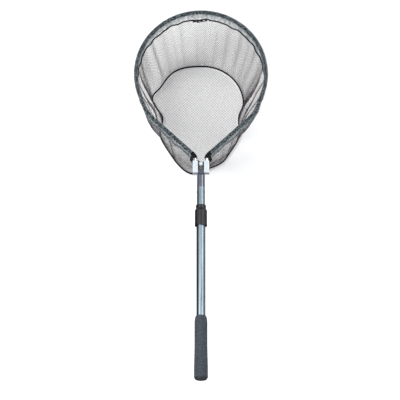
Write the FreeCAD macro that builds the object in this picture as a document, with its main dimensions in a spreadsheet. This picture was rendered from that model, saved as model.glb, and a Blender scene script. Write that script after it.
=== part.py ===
# Landing net: a netting bag on a hoop that folds on a two-section telescopic handle.
#
# Frame: the origin is the middle of the butt face, +Y runs along the handle to the hoop, +X to the
# right and +Z up. The hoop lies level and the bag hangs along -Z. Sizes are in millimetres.
import FreeCAD, Part
import math
import os
from types import SimpleNamespace

import Sketcher

V = FreeCAD.Vector
X_AXIS, Y_AXIS, Z_AXIS = V(1, 0, 0), V(0, 1, 0), V(0, 0, 1)

# shares of a feature's own size
SHOULDER_FOAM, LIP_FOAM, LIP_LENGTH = 0.62, 0.3, 0.3  # rounded upper end of the foam grip
CREST_START, CREST_END, ROOT_START = 0.3, 0.5, 0.8  # one thread pitch, from its foot
CLAMP_TAPER = 0.55  # wall left at the clamp's end
COLLAR_NECK_CHAMFER, COLLAR_LIP_CHAMFER = 0.35, 0.4
FLUTE_END_MARGIN = 0.6  # plain band above the flutes against the one below
FORK_ROOM = 1.5  # gap round the knuckle against the usual moving gap
FLAT_START, HEAD_BORE = 0.5, 0.6  # where the head's flats start and its bore ends
TRIM_REACH = 0.8  # how far the black trim reaches past the button's middle
SCREW_DEPTH = 0.6  # place of the set screws along the hoop's socket
KNUCKLE_NECK, KNUCKLE_NECK_TOP = 0.57, 0.8  # knuckle's neck against its radius

DRIVING_SIZES = [
    # handle tubes
    ("outer_tube_end", 500.0, "distance of the outer tube's top end from the butt"),
    ("outer_tube_od", 27.0, "outer tube, outside diameter"),
    ("outer_tube_wall", 1.2, "outer tube, wall"),
    ("inner_tube_wall", 1.0, "inner tube, wall"),
    ("tube_gap", 0.3, "radial gap between the two tubes"),
    ("running_gap", 0.05, "radial running clearance"),
    ("glue_gap", 0.05, "radial gap of a glued or pressed joint"),
    ("moving_gap", 0.4, "gap between pieces that move apart"),
    ("slide_travel", 360.0, "how far the inner tube slides out"),
    # grip and butt
    ("flange_width", 4.0, "butt flange beyond the tube"),
    ("flange_thick", 3.0, "butt flange thickness"),
    ("plug_length", 22.0, "butt plug inside the tube"),
    ("plug_wall", 2.0, "butt plug wall"),
    ("grip_length", 193.0, "foam grip length"),
    ("grip_foam", 5.9, "foam thickness over most of the grip"),
    ("grip_end_foam", 7.4, "foam thickness at the butt"),
    ("grip_end_length", 25.0, "length of the thick butt end"),
    ("grip_taper_length", 80.0, "length over which the butt end thins"),
    ("grip_shoulder", 24.0, "length of the rounded upper end"),
    ("grip_end_round", 3.4, "rounding of the butt end"),
    # twist collar
    ("collar_overlap", 23.0, "how far the collar reaches below the tube's end"),
    ("collar_length", 64.0, "collar length"),
    ("collar_wall", 2.1, "collar wall over its bore"),
    ("collar_lip", 3.0, "collar's lower lip"),
    ("collar_neck_wall", 3.2, "collar neck beyond the inner tube"),
    ("collar_neck_length", 11.0, "collar neck length"),
    ("collar_shoulder", 6.0, "length of the collar's shoulder"),
    ("flute_radius", 2.6, "radius of the cutter of the grip flutes"),
    ("flute_depth", 1.0, "depth of the grip flutes"),
    ("flute_margin", 5.0, "plain band at each end of the flutes"),
    ("flute_count", 12.0, "number of grip flutes"),
    ("bush_wall", 1.9, "threaded bush wall"),
    ("thread_height", 0.5, "height of the bush's thread ridges"),
    ("thread_pitch", 3.0, "spacing of the thread ridges"),
    ("bush_above", 12.0, "bush length above the tube's end"),
    ("clamp_length", 15.0, "clamp ring length"),
    ("clamp_wall", 2.6, "clamp ring wall at its lower end"),
    ("clamp_slot", 3.0, "slot of the clamp ring"),
    ("seal_radius", 1.0, "section radius of the seal"),
    # upper pole
    ("pole_exposed", 57.0, "inner tube that shows above the collar"),
    ("guide_length", 30.0, "guide bush length below the inner tube"),
    ("spigot_length", 20.0, "guide bush length inside the inner tube"),
    ("guide_wall", 2.5, "guide bush wall"),
    # hinge head
    ("head_spigot", 35.0, "head length inside the tube"),
    ("spigot_wall", 3.5, "wall of the head's hollow spigot"),
    ("head_step", 0.3, "how far the head's shoulder stands over the tube"),
    ("head_round_length", 36.0, "length of the head's round part"),
    ("head_taper", 6.0, "length of the head's tapered shoulders"),
    ("head_half", 8.1, "half width of the head's flat part"),
    ("hinge_reach", 70.0, "fold axis beyond the tube's end"),
    ("pin_tip", 0.4, "length of the fold pin beyond its retaining ring"),
    ("pin_clearance", 0.8, "fold pin above the hoop tube"),
    ("pin_cover", 4.0, "head and blocks above the fold axis"),
    ("ear_radius", 6.2, "fork ear radius"),
    ("knuckle_radius", 6.4, "centre knuckle radius"),
    ("knuckle_half", 4.6, "centre knuckle half width"),
    ("inner_washer", 0.5, "washer between knuckle and fork"),
    ("outer_washer", 0.75, "washer between fork and block"),
    ("washer_gap", 0.15, "side play of the hinge"),
    ("washer_radius", 5.8, "washer radius"),
    ("pin_radius", 2.2, "fold pin radius"),
    ("pin_head_radius", 4.0, "fold pin head radius"),
    ("pin_head_thick", 1.6, "fold pin head thickness"),
    ("clip_thick", 1.0, "retaining ring thickness"),
    ("rivet_radius", 1.6, "head rivet shank radius"),
    ("rivet_head_radius", 2.8, "head rivet head radius"),
    ("rivet_depth", 4.0, "head rivet shank length"),
    ("rivet_back", 15.0, "head rivets below the tube's end"),
    # lock button
    ("button_back", 13.7, "button axis behind the fold axis"),
    ("button_radius", 4.8, "button radius"),
    ("button_rise", 2.2, "button top above the head"),
    ("button_height", 5.0, "button height"),
    ("rivet_dome", 0.6, "how far the rivet heads stand over the head's side"),
    ("spring_gap", 0.05, "gap at each end of the button's spring"),
    ("button_gap", 0.3, "radial gap round the button"),
    ("insert_radius", 1.9, "radius of the button's black centre"),
    ("insert_depth", 1.5, "depth of the black centre"),
    ("plunger_radius", 2.2, "plunger radius"),
    ("plunger_length", 14.7, "plunger length"),
    ("spring_floor", 2.0, "spring seat below the tube's axis"),
    ("spring_wire", 0.45, "spring wire radius"),
    ("spring_turns", 5.0, "spring turns"),
    ("cap_thick", 1.4, "black trim thickness"),
    # yoke
    ("block_wall", 2.8, "block beside the hoop tube"),
    ("block_front", 9.5, "block length in front of the fold axis"),
    ("block_back", 27.5, "block length behind the fold axis"),
    ("bar_clearance", 0.7, "crossbar below the hoop tube"),
    ("block_round", 1.5, "rounding of the block's long edges"),
    ("groove_width", 0.9, "width of the grooves on a block"),
    ("groove_depth", 0.7, "depth of the grooves on a block"),
    ("bar_thick", 3.3, "crossbar thickness"),
    ("bar_length", 4.5, "crossbar length along the handle"),
    ("stop_gap", 0.5, "gap between the head's underside and the stop plate"),
    ("stop_thick", 2.5, "stop plate thickness"),
    ("stop_length", 13.0, "stop plate length along the handle"),
    ("stop_back", 26.0, "stop plate's far edge behind the fold axis"),
    ("screw_radius", 1.2, "screw shank radius"),
    ("screw_head_radius", 1.9, "screw head radius"),
    ("screw_head_depth", 1.3, "screw head depth"),
    ("screw_bite", 3.5, "screw length inside a block"),
    ("screw_offset", 0.9, "screw axis beside the hoop tube"),
    # hoop
    ("hoop_tube_od", 10.0, "hoop tube, outside diameter"),
    ("hoop_tube_wall", 1.2, "hoop tube, wall"),
    ("socket_gap", 0.1, "gap between the hoop's end and the floor of its socket"),
    ("hoop_socket", 16.0, "hoop length inside a block"),
    ("hoop_radius", 194.0, "radius of the hoop's centre line"),
    ("hoop_bulge", 6.7, "arms' distance outside the hoop's circle"),
    ("hoop_arm_angle", 43.0, "slope of the arms, degrees"),
    ("hoop_side_angle", 20.0, "where the circle ends below its middle, degrees"),
    ("hoop_corner_radius", 90.0, "bend from side to arm"),
    ("neck_bend_radius", 18.0, "bend from arm to block"),
    ("neck_straight", 10.0, "straight hoop tube in front of a block"),
    ("nose_radius", 34.0, "front end of the bag's mouth"),
    # net
    ("sleeve_gap", 0.1, "gap between hoop and sleeve"),
    ("sleeve_thick", 1.2, "sleeve thickness"),
    ("patch_start", 1.0, "patch start, along the arm from the neck bend"),
    ("patch_length", 21.0, "patch length along the arm"),
    ("patch_thick", 1.9, "patch thickness"),
    ("patch_drop", 45.0, "how far the patch hangs below the hoop"),
    ("patch_flap", 1.4, "thickness of the patch's hanging part"),
    ("net_thick", 1.0, "netting wall thickness"),
    ("mouth_inset", 1.6, "netting inside the hoop's line at its top"),
    ("seam_depth", 56.0, "seam cord below the hoop"),
    ("seam_inset", 0.5, "seam cord inside the hoop's line"),
    ("cord_radius", 2.1, "seam cord radius"),
    ("cord_gap", 0.6, "gap between cord and netting"),
    ("bag_depth", 316.0, "bag depth"),
    ("base_radius", 134.0, "radius of the base panel's far end"),
    ("base_shift", -2.0, "base panel's circle from the hoop's circle"),
    ("base_bulge", 12.9, "base front sides' distance outside the circle"),
    ("base_arm_angle", 61.0, "slope of the base's front sides, degrees"),
    ("base_side_angle", 12.0, "where the base's circle ends, degrees"),
    ("base_corner_radius", 120.0, "bend to the base's front sides"),
    ("base_nose_radius", 91.0, "front end of the base"),
    ("piping_radius", 2.6, "base piping radius"),
    ("piping_gap", 0.1, "gap between piping and netting"),
    ("base_thick", 1.2, "base panel thickness"),
]


# ------------------------------------------------------------------------------------ sizes


class Size:
    """A length with its value and the sheet formula that gives it, so both come from one line."""

    def __init__(self, value, formula):
        self.value = value
        self.formula = formula

    def joined(self, other, sign, value):
        return Size(value, f"({self.formula} {sign} {other.formula})")

    def __add__(self, other):
        other = as_size(other)
        return self.joined(other, "+", self.value + other.value)

    def __sub__(self, other):
        other = as_size(other)
        return self.joined(other, "-", self.value - other.value)

    def __mul__(self, other):
        other = as_size(other)
        return self.joined(other, "*", self.value * other.value)

    def __truediv__(self, other):
        other = as_size(other)
        return self.joined(other, "/", self.value / other.value)

    def __neg__(self):
        return ZERO - self


def as_size(number):
    """A plain number as a Size; a Size stays as it is."""
    return number if isinstance(number, Size) else Size(float(number), str(float(number)))


ZERO = as_size(0)

doc = FreeCAD.newDocument("LandingNet")
sheet = doc.addObject("Spreadsheet::Sheet", "Sizes")
for row, (alias, number, note) in enumerate(DRIVING_SIZES, start=1):
    sheet.set(f"A{row}", alias)
    sheet.set(f"B{row}", str(number))
    sheet.setAlias(f"B{row}", alias)
    sheet.set(f"C{row}", note)
doc.recompute()

s = SimpleNamespace(
    **{alias: Size(float(sheet.get(alias)), f"Sizes.{alias}") for alias, _, _ in DRIVING_SIZES}
)

# Places and radii that several pieces share.
outer_radius = s.outer_tube_od / 2
outer_bore = outer_radius - s.outer_tube_wall
inner_radius = outer_bore - s.tube_gap
inner_bore = inner_radius - s.inner_tube_wall
bush_radius = outer_radius + s.bush_wall
thread_radius = bush_radius + s.thread_height
collar_bore = thread_radius + s.moving_gap
collar_radius = collar_bore + s.collar_wall
collar_start = s.outer_tube_end - s.collar_overlap
collar_end = collar_start + s.collar_length
bush_start = collar_start + s.collar_lip + s.moving_gap
pole_end = collar_end + s.pole_exposed
guide_top = s.outer_tube_end - s.slide_travel - s.moving_gap
hinge_y = pole_end + s.hinge_reach
hoop_tube_radius = s.hoop_tube_od / 2
hinge_z = hoop_tube_radius + s.pin_radius + s.pin_clearance
body_top = hinge_z + s.pin_cover
bar_top = -(hoop_tube_radius + s.bar_clearance)
block_bottom = bar_top - s.bar_thick
head_bottom = -block_bottom - s.stop_gap
head_radius = inner_radius + s.head_step
fork_inner = s.knuckle_half + s.inner_washer + s.washer_gap
block_inner = s.head_half + s.washer_gap + s.outer_washer
block_width = s.hoop_tube_od + s.block_wall * 2
block_outer = block_inner + block_width
block_y0 = hinge_y - s.block_back
block_y1 = hinge_y + s.block_front
hoop_x = block_inner + block_width / 2
screw_x = hoop_x + hoop_tube_radius + s.screw_offset
button_y = hinge_y - s.button_back
button_top = body_top + s.button_rise
button_bottom = button_top - s.button_height
button_bore = s.button_radius + s.button_gap
sleeve_inner = hoop_tube_radius + s.sleeve_gap
sleeve_outer = sleeve_inner + s.sleeve_thick
mouth_z = -(sleeve_inner + s.patch_thick + s.sleeve_gap)
wall_bottom_z = -s.bag_depth
piping_z = wall_bottom_z - s.piping_radius - s.piping_gap

parts = {}


def keep(label, obj):
    """Name the finished object of a sub-part."""
    obj.Label = label
    parts[label] = obj
    return obj


# ------------------------------------------------------------------- sketched and turned pieces


def attach(sketch, body, role, offset=None):
    """Put a sketch on one of its body's own origin planes."""
    plane = next(f for f in body.Origin.OriginFeatures if f.Role == role)
    sketch.AttachmentSupport = [(plane, "")]
    sketch.MapMode = "FlatFace"
    if offset is not None:
        sketch.setExpression("AttachmentOffset.Base.z", offset.formula)


def locate(sketch, geometry, point, name, place):
    """Bind one point of a sketch to its distances from the origin."""
    for axis, kind, distance in (("x", "DistanceX", place[0]), ("y", "DistanceY", place[1])):
        constraint = Sketcher.Constraint(kind, -1, 1, geometry, point, distance.value)
        index = sketch.addConstraint(constraint)
        sketch.renameConstraint(index, f"{name}_{axis}")
        sketch.setExpression(f"Constraints.{name}_{axis}", distance.formula)


def draw_outline(sketch, corners):
    """Draw a closed outline of straight lines through corners given as pairs of sizes."""
    corners = [(as_size(x), as_size(y)) for x, y in corners]
    points = [V(x.value, y.value, 0) for x, y in corners]
    count = len(points)
    for i in range(count):
        sketch.addGeometry(Part.LineSegment(points[i], points[(i + 1) % count]), False)
    for i in range(count):
        sketch.addConstraint(Sketcher.Constraint("Coincident", i, 2, (i + 1) % count, 1))
        locate(sketch, i, 1, f"corner{i}", corners[i])


def turned(label, corners):
    """A body turned about the handle's axis from (radius, distance along the handle) corners."""
    body = doc.addObject("PartDesign::Body", label + "_body")
    sketch = body.newObject("Sketcher::SketchObject", label + "_profile")
    attach(sketch, body, "XY_Plane")
    draw_outline(sketch, corners)
    feature = body.newObject("PartDesign::Revolution", label + "_turned")
    feature.Profile = sketch
    feature.ReferenceAxis = (sketch, ["V_Axis"])
    feature.Angle = 360
    body.Tip = feature
    doc.recompute()
    return body


def ring(label, bore, radius, start, end):
    """A plain turned tube or ring along the handle."""
    return turned(label, [(bore, start), (radius, start), (radius, end), (bore, end)])


def cut_slot(body, name, width, start, end, depth):
    """Cut a radial slot through a turned body on its +Z side, from start to end along it."""
    sketch = body.newObject("Sketcher::SketchObject", name + "_sketch")
    attach(sketch, body, "XY_Plane")
    half = width / 2
    draw_outline(sketch, [(-half, start), (half, start), (half, end), (-half, end)])
    pocket = body.newObject("PartDesign::Pocket", name)
    pocket.Profile = sketch
    pocket.Reversed = True
    pocket.setExpression("Length", depth.formula)
    body.Tip = pocket
    doc.recompute()
    return pocket


# --------------------------------------------------------------------- primitives and booleans


def place(obj, x, y, z, axis=Z_AXIS):
    """Bind an object's place to sizes and point its own Z along an axis."""
    obj.Placement = FreeCAD.Placement(V(0, 0, 0), FreeCAD.Rotation(Z_AXIS, axis))
    for name, distance in (("x", x), ("y", y), ("z", z)):
        obj.setExpression(f"Placement.Base.{name}", as_size(distance).formula)
    return obj


def box(name, x0, x1, y0, y1, z0, z1):
    """A box between two corners."""
    obj = doc.addObject("Part::Box", name)
    spans = (("Length", x0, x1), ("Width", y0, y1), ("Height", z0, z1))
    for side, low, high in spans:
        obj.setExpression(side, (as_size(high) - as_size(low)).formula)
    return place(obj, x0, y0, z0)


def rod(name, axis, radius, length, x, y, z):
    """A cylinder that starts at a point and runs along an axis."""
    obj = doc.addObject("Part::Cylinder", name)
    obj.setExpression("Radius", as_size(radius).formula)
    obj.setExpression("Height", as_size(length).formula)
    return place(obj, x, y, z, axis)


def joined(name, pieces):
    """One solid from several that touch or overlap."""
    obj = doc.addObject("Part::MultiFuse", name)
    obj.Shapes = pieces
    obj.Refine = True
    return obj


def less(name, base, tools):
    """A solid with one or more tools cut out of it."""
    tool = tools[0] if len(tools) == 1 else joined(name + "_tools", tools)
    obj = doc.addObject("Part::Cut", name)
    obj.Base = base
    obj.Tool = tool
    return obj


def group(name, pieces):
    """Separate solids kept in one sub-part."""
    obj = doc.addObject("Part::Compound", name)
    obj.Links = pieces
    return obj


def rounded(name, base, radius, wanted):
    """Round the edges for which wanted(edge) is true."""
    doc.recompute()
    obj = doc.addObject("Part::Fillet", name)
    obj.Base = base
    edges = enumerate(base.Shape.Edges, start=1)
    obj.Edges = [(i, radius.value, radius.value) for i, edge in edges if wanted(edge)]
    return obj


def runs_along(edge, axis):
    """True for a straight edge parallel to an axis."""
    if not isinstance(edge.Curve, Part.Line):
        return False
    return abs(abs(edge.Curve.Direction.dot(axis)) - 1) < 1e-6


def holed_disc(name, radius, bore, x0, thick):
    """A washer on the fold axis that starts at x0."""
    disc = rod(name + "_disc", X_AXIS, radius, thick, x0, hinge_y, hinge_z)
    hole = rod(name + "_hole", X_AXIS, bore, thick, x0, hinge_y, hinge_z)
    return less(name, disc, [hole])


# ---------------------------------------------------------------------------- handle and grip


def make_handle():
    """Outer tube, butt plug, foam grip and the fixed pieces inside the collar."""
    start = s.flange_thick
    keep("outer_tube", ring("outer_tube", outer_bore, outer_radius, start, s.outer_tube_end))

    plug_radius = outer_bore - s.glue_gap
    plug_end = start + s.plug_length
    keep("butt_cap", turned("butt_cap", [
        (0, 0),
        (outer_radius + s.flange_width, 0),
        (outer_radius + s.flange_width, start),
        (plug_radius, start),
        (plug_radius, plug_end),
        (plug_radius - s.plug_wall, plug_end),
        (plug_radius - s.plug_wall, start),
        (0, start),
    ]))

    bore = outer_radius + s.glue_gap
    thick_end = start + s.grip_end_length
    thin_start = thick_end + s.grip_taper_length
    grip_end = start + s.grip_length
    grip_radius = outer_radius + s.grip_foam
    end_radius = outer_radius + s.grip_end_foam
    keep("foam_grip", turned("foam_grip", [
        (bore, start),
        (end_radius - s.grip_end_round, start),
        (end_radius, start + s.grip_end_round),
        (end_radius, thick_end),
        (grip_radius, thin_start),
        (grip_radius, grip_end - s.grip_shoulder),
        (outer_radius + s.grip_foam * SHOULDER_FOAM, grip_end - s.grip_shoulder * LIP_LENGTH),
        (outer_radius + s.grip_foam * LIP_FOAM, grip_end),
        (bore, grip_end),
    ]))

    make_collet(bore)


def make_collet(bore):
    """The threaded bush on the tube's end, its clamp ring and its seal."""
    bush_end = s.outer_tube_end + s.bush_above
    seal_seat = bush_start + s.seal_radius * 2
    corners = [(bore, bush_start), (bush_radius, bush_start), (bush_radius, seal_seat)]
    ridge_count = 5
    for i in range(ridge_count):
        foot = seal_seat + s.thread_pitch * (i + 1)
        corners.append((bush_radius, foot))
        corners.append((thread_radius, foot + s.thread_pitch * CREST_START))
        corners.append((thread_radius, foot + s.thread_pitch * CREST_END))
        corners.append((bush_radius, foot + s.thread_pitch * ROOT_START))
    pole_bore = inner_radius + s.running_gap
    corners += [
        (bush_radius, bush_end),
        (pole_bore, bush_end),
        (pole_bore, s.outer_tube_end),
        (bore, s.outer_tube_end),
    ]
    keep("collet_body", turned("collet_body", corners))

    clamp_start = bush_end + s.glue_gap
    clamp_end = clamp_start + s.clamp_length
    clamp = turned("clamp_ring", [
        (pole_bore, clamp_start),
        (pole_bore + s.clamp_wall, clamp_start),
        (pole_bore + s.clamp_wall * CLAMP_TAPER, clamp_end),
        (pole_bore, clamp_end),
    ])
    slot_depth = pole_bore + s.clamp_wall * 2
    cut_slot(clamp, "clamp_slot", s.clamp_slot, clamp_start - 1, clamp_end + 1, slot_depth)
    keep("clamp_ring", clamp)

    seal = doc.addObject("Part::Torus", "seal_torus")
    seal.setExpression("Radius1", (outer_radius + s.seal_radius + s.glue_gap).formula)
    seal.setExpression("Radius2", s.seal_radius.formula)
    place(seal, 0, bush_start - s.seal_radius - s.glue_gap, 0, Y_AXIS)
    keep("collar_seal", seal)


def make_collar():
    """The twist collar: lip, fluted barrel, shoulder and neck over one stepped bore."""
    lip_bore = outer_radius + s.moving_gap
    mouth_bore = inner_radius + s.moving_gap
    neck_radius = inner_radius + s.collar_neck_wall
    neck_start = collar_end - s.collar_neck_length
    shoulder_start = neck_start - s.collar_shoulder
    cone_start = s.outer_tube_end + s.bush_above
    seat_end = collar_end - s.collar_lip
    body = turned("lock_collar", [
        (lip_bore, collar_start),
        (collar_radius, collar_start),
        (collar_radius, shoulder_start),
        (neck_radius, neck_start),
        (neck_radius, collar_end),
        (mouth_bore, collar_end),
        (mouth_bore, seat_end),
        (neck_radius - s.collar_neck_wall * COLLAR_NECK_CHAMFER, neck_start),
        (collar_bore, cone_start),
        (collar_bore, collar_start + s.collar_lip * COLLAR_LIP_CHAMFER),
        (lip_bore, collar_start + s.collar_lip * COLLAR_LIP_CHAMFER),
    ])
    flute_start = collar_start + s.flute_margin
    sketch = body.newObject("Sketcher::SketchObject", "flute_circle")
    attach(sketch, body, "XZ_Plane", -flute_start)
    centre = collar_radius + s.flute_radius - s.flute_depth
    circle = Part.Circle(V(centre.value, 0, 0), Z_AXIS, s.flute_radius.value)
    sketch.addGeometry(circle, False)
    sketch.addConstraint(Sketcher.Constraint("PointOnObject", 0, 3, -1))
    across = Sketcher.Constraint("DistanceX", -1, 1, 0, 3, centre.value)
    sketch.renameConstraint(sketch.addConstraint(across), "centre_x")
    sketch.setExpression("Constraints.centre_x", centre.formula)
    size = Sketcher.Constraint("Radius", 0, s.flute_radius.value)
    sketch.renameConstraint(sketch.addConstraint(size), "flute_size")
    sketch.setExpression("Constraints.flute_size", s.flute_radius.formula)
    pocket = body.newObject("PartDesign::Pocket", "flute")
    pocket.Profile = sketch
    flute_length = shoulder_start - s.flute_margin * FLUTE_END_MARGIN - flute_start
    pocket.setExpression("Length", flute_length.formula)
    body.Tip = pocket
    doc.recompute()
    pattern = body.newObject("PartDesign::PolarPattern", "flutes")
    pattern.Originals = [pocket]
    pattern.Axis = (next(f for f in body.Origin.OriginFeatures if f.Role == "Y_Axis"), [""])
    pattern.Angle = 360
    pattern.setExpression("Occurrences", s.flute_count.formula)
    body.Tip = pattern
    doc.recompute()
    keep("lock_collar", body)


# --------------------------------------------------------------------- upper pole and hinge head


def make_pole():
    """Inner tube with rivet holes, and the guide bush on its lower end."""
    tube = ring("inner_tube_blank", inner_bore, inner_radius, guide_top, pole_end)
    rivet_y = pole_end - s.rivet_back
    width = inner_radius * 2 + 2
    hole = rod("tube_rivet_hole", X_AXIS, s.rivet_radius, width, -(width / 2), rivet_y, 0)
    keep("inner_tube", less("inner_tube_cut", tube, [hole]))

    guide_radius = outer_bore - s.running_gap
    spigot_radius = inner_bore - s.glue_gap
    guide_bore = spigot_radius - s.guide_wall
    keep("guide_bush", turned("guide_bush", [
        (guide_bore, guide_top - s.guide_length),
        (guide_radius, guide_top - s.guide_length),
        (guide_radius, guide_top),
        (spigot_radius, guide_top),
        (spigot_radius, guide_top + s.spigot_length),
        (guide_bore, guide_top + s.spigot_length),
    ]))


def make_head():
    """Hinge head: spigot, round part, tapered shoulders, flat part, fork ears and bores."""
    taper_start = pole_end + s.head_round_length
    flat_start = taper_start + s.head_taper
    stem = turned("head_stem", [
        (0, pole_end - s.head_spigot),
        (inner_bore - s.glue_gap, pole_end - s.head_spigot),
        (inner_bore - s.glue_gap, pole_end),
        (head_radius, pole_end),
        (head_radius, taper_start),
        (s.head_half, flat_start),
        (0, flat_start),
    ])
    ear_front = hinge_y + s.ear_radius
    fork_start = hinge_y - s.knuckle_radius - s.moving_gap * FORK_ROOM
    flat = box("head_flat", -s.head_half, s.head_half, taper_start + s.head_taper * FLAT_START, fork_start,
               -head_bottom, body_top)
    ears = rod("head_ears", X_AXIS, s.ear_radius, s.head_half * 2, -s.head_half, hinge_y, hinge_z)
    cheeks = box("head_cheeks", -s.head_half, s.head_half, fork_start, hinge_y,
                 hinge_z - s.ear_radius, hinge_z + s.ear_radius)
    solid = joined("head_solid", [stem, flat, cheeks, ears])

    gap = box("fork_gap", -fork_inner, fork_inner, fork_start, ear_front + 1,
              -head_bottom - 1, hinge_z + s.ear_radius + 1)
    hollow = rod("head_hollow", Y_AXIS, inner_bore - s.glue_gap - s.spigot_wall,
                 s.head_spigot + s.head_round_length * HEAD_BORE + 1, 0, pole_end - s.head_spigot - 1, 0)
    pin_hole = rod("fork_pin_hole", X_AXIS, s.pin_radius + s.running_gap, s.head_half * 2 + 2,
                   -s.head_half - 1, hinge_y, hinge_z)
    well = rod("button_well", Z_AXIS, button_bore, body_top + s.spring_floor + 1,
               0, button_y, -s.spring_floor)
    shaft = rod("plunger_shaft", Z_AXIS, s.plunger_radius + s.running_gap, head_bottom + 2,
                0, button_y, -head_bottom - 1)
    rivet_y = pole_end - s.rivet_back
    rivet_end = inner_radius - s.rivet_depth
    seats = [
        rod(f"rivet_seat_{side}", axis, s.rivet_radius, s.rivet_depth, start, rivet_y, 0)
        for side, axis, start in (("right", X_AXIS, rivet_end), ("left", -X_AXIS, -rivet_end))
    ]
    cut = less("head_cut", solid, [gap, hollow, pin_hole, well, shaft] + seats)
    keep("hinge_head", cut)


def make_head_trim():
    """Black trim round the button, and the two head rivets."""
    front = hinge_y - s.knuckle_radius - s.moving_gap * FORK_ROOM
    back = button_y - s.button_radius * TRIM_REACH
    plate = box("cap_plate", -s.head_half, s.head_half, back, front,
                body_top, body_top + s.cap_thick)
    hole = rod("cap_hole", Z_AXIS, button_bore, s.cap_thick, 0, button_y, body_top)
    keep("head_cap", less("head_cap_cut", plate, [hole]))

    rivet_y = pole_end - s.rivet_back
    shank_radius = s.rivet_radius - s.glue_gap
    head_start = inner_radius + s.glue_gap
    head_thick = s.head_step + s.rivet_dome
    pieces = []
    for side, axis, sign in (("right", X_AXIS, 1), ("left", -X_AXIS, -1)):
        shank = rod(f"rivet_shank_{side}", axis, shank_radius, s.rivet_depth,
                    (head_start - s.rivet_depth) * sign, rivet_y, 0)
        head = rod(f"rivet_head_{side}", axis, s.rivet_head_radius, head_thick,
                   head_start * sign, rivet_y, 0)
        pieces.append(joined(f"rivet_{side}", [shank, head]))
    keep("head_rivets", group("head_rivets_group", pieces))


def make_button():
    """Lock button ring, its black centre, the plunger and the return spring."""
    blank = rod("button_blank", Z_AXIS, s.button_radius, s.button_height,
                0, button_y, button_bottom)
    recess = rod("button_recess", Z_AXIS, s.insert_radius + s.glue_gap, s.insert_depth,
                 0, button_y, button_top - s.insert_depth)
    ring_body = less("button_ring", blank, [recess])
    keep("lock_button", ring_body)

    keep("button_insert", rod("insert", Z_AXIS, s.insert_radius, s.insert_depth,
                              0, button_y, button_top - s.insert_depth))
    keep("lock_plunger", rod("plunger", Z_AXIS, s.plunger_radius, s.plunger_length,
                             0, button_y, button_bottom - s.plunger_length))

    mean_radius = (s.plunger_radius + button_bore).value / 2
    wire = s.spring_wire.value
    height = (button_bottom + s.spring_floor).value - 2 * wire - 2 * s.spring_gap.value
    coil = Part.makeHelix(height / s.spring_turns.value, height, mean_radius)
    section = Part.Wire(Part.makeCircle(wire, V(mean_radius, 0, 0), Y_AXIS))
    spring = doc.addObject("Part::Feature", "spring_coil")
    spring.Shape = Part.Wire(coil.Edges).makePipeShell([section], True, True)
    foot = V(0, button_y.value, wire + s.spring_gap.value - s.spring_floor.value)
    spring.Placement = FreeCAD.Placement(foot, FreeCAD.Rotation())
    keep("button_spring", spring)


# ------------------------------------------------------------------------------ hinge and yoke


def make_hinge():
    """Fold pin, its retaining ring and the four washers."""
    pin = rod("pin_shank", X_AXIS, s.pin_radius, block_outer * 2 + s.clip_thick * 2 + s.pin_tip,
              -block_outer, hinge_y, hinge_z)
    head = rod("pin_head", X_AXIS, s.pin_head_radius, s.pin_head_thick,
               -block_outer - s.pin_head_thick, hinge_y, hinge_z)
    keep("hinge_pin", joined("hinge_pin_solid", [pin, head]))

    clip_bore = s.pin_radius + s.glue_gap
    keep("pin_clip", holed_disc("clip", s.pin_head_radius, clip_bore,
                                block_outer + s.glue_gap, s.clip_thick))

    outer_start = s.head_half + s.washer_gap
    washers = [
        holed_disc("washer_inner_right", s.washer_radius, clip_bore, s.knuckle_half,
                   s.inner_washer),
        holed_disc("washer_inner_left", s.washer_radius, clip_bore,
                   -s.knuckle_half - s.inner_washer, s.inner_washer),
        holed_disc("washer_outer_right", s.washer_radius, clip_bore, outer_start,
                   s.outer_washer),
        holed_disc("washer_outer_left", s.washer_radius, clip_bore,
                   -outer_start - s.outer_washer, s.outer_washer),
    ]
    keep("hinge_washers", group("washer_set", washers))


def make_block(side, sign):
    """One silver block: grooved top, socket for the hoop, pin hole and screw holes."""
    low, high = (block_inner, block_outer) if sign > 0 else (-block_outer, -block_inner)
    blank = box(f"block_blank_{side}", low, high, block_y0, block_y1,
                block_bottom, body_top)
    soft = rounded(f"block_round_{side}", blank, s.block_round,
                   lambda edge: runs_along(edge, Y_AXIS))
    middle = hoop_x * sign
    tools = []
    for i in (-1, 1):
        centre = middle + block_width * (i / 6)
        tools.append(box(f"groove_{side}_{i + 2}", centre - s.groove_width / 2,
                         centre + s.groove_width / 2, block_y0 - 1, block_y1 + 1,
                         body_top - s.groove_depth, body_top + 1))
    tools.append(rod(f"hoop_socket_{side}", Y_AXIS, hoop_tube_radius + s.glue_gap,
                     s.hoop_socket + 1, middle, block_y1 - s.hoop_socket, 0))
    tools.append(rod(f"block_pin_hole_{side}", X_AXIS, s.pin_radius + s.glue_gap,
                     block_width + 2, low - 1, hinge_y, hinge_z))
    tools.append(box(f"bar_rebate_{side}", low - 1, high + 1, block_y1 - s.bar_length, block_y1 + 1,
                     block_bottom - 1, bar_top + s.glue_gap))
    for row_name, screw_y in screw_rows():
        bite = s.screw_bite + (s.bar_thick if row_name == "bar" else 0)
        tools.append(rod(f"screw_hole_{side}_{row_name}", Z_AXIS, s.screw_radius + s.glue_gap,
                         bite + s.glue_gap + 1, screw_x * sign, screw_y, block_bottom - 1))
    tools.append(rod(f"set_screw_hole_{side}", Z_AXIS, s.rivet_radius + s.glue_gap,
                     -hoop_tube_radius - block_bottom + 1, middle, set_screw_y(),
                     block_bottom - 1))
    keep(f"yoke_block_{side}", less(f"block_{side}", soft, tools))


def screw_rows():
    """The two rows of screws under the yoke: crossbar and stop plate."""
    bar_y = block_y1 - s.bar_length / 2
    stop_y = hinge_y - s.stop_back + s.stop_length / 2
    return (("bar", bar_y), ("stop", stop_y))


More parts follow.
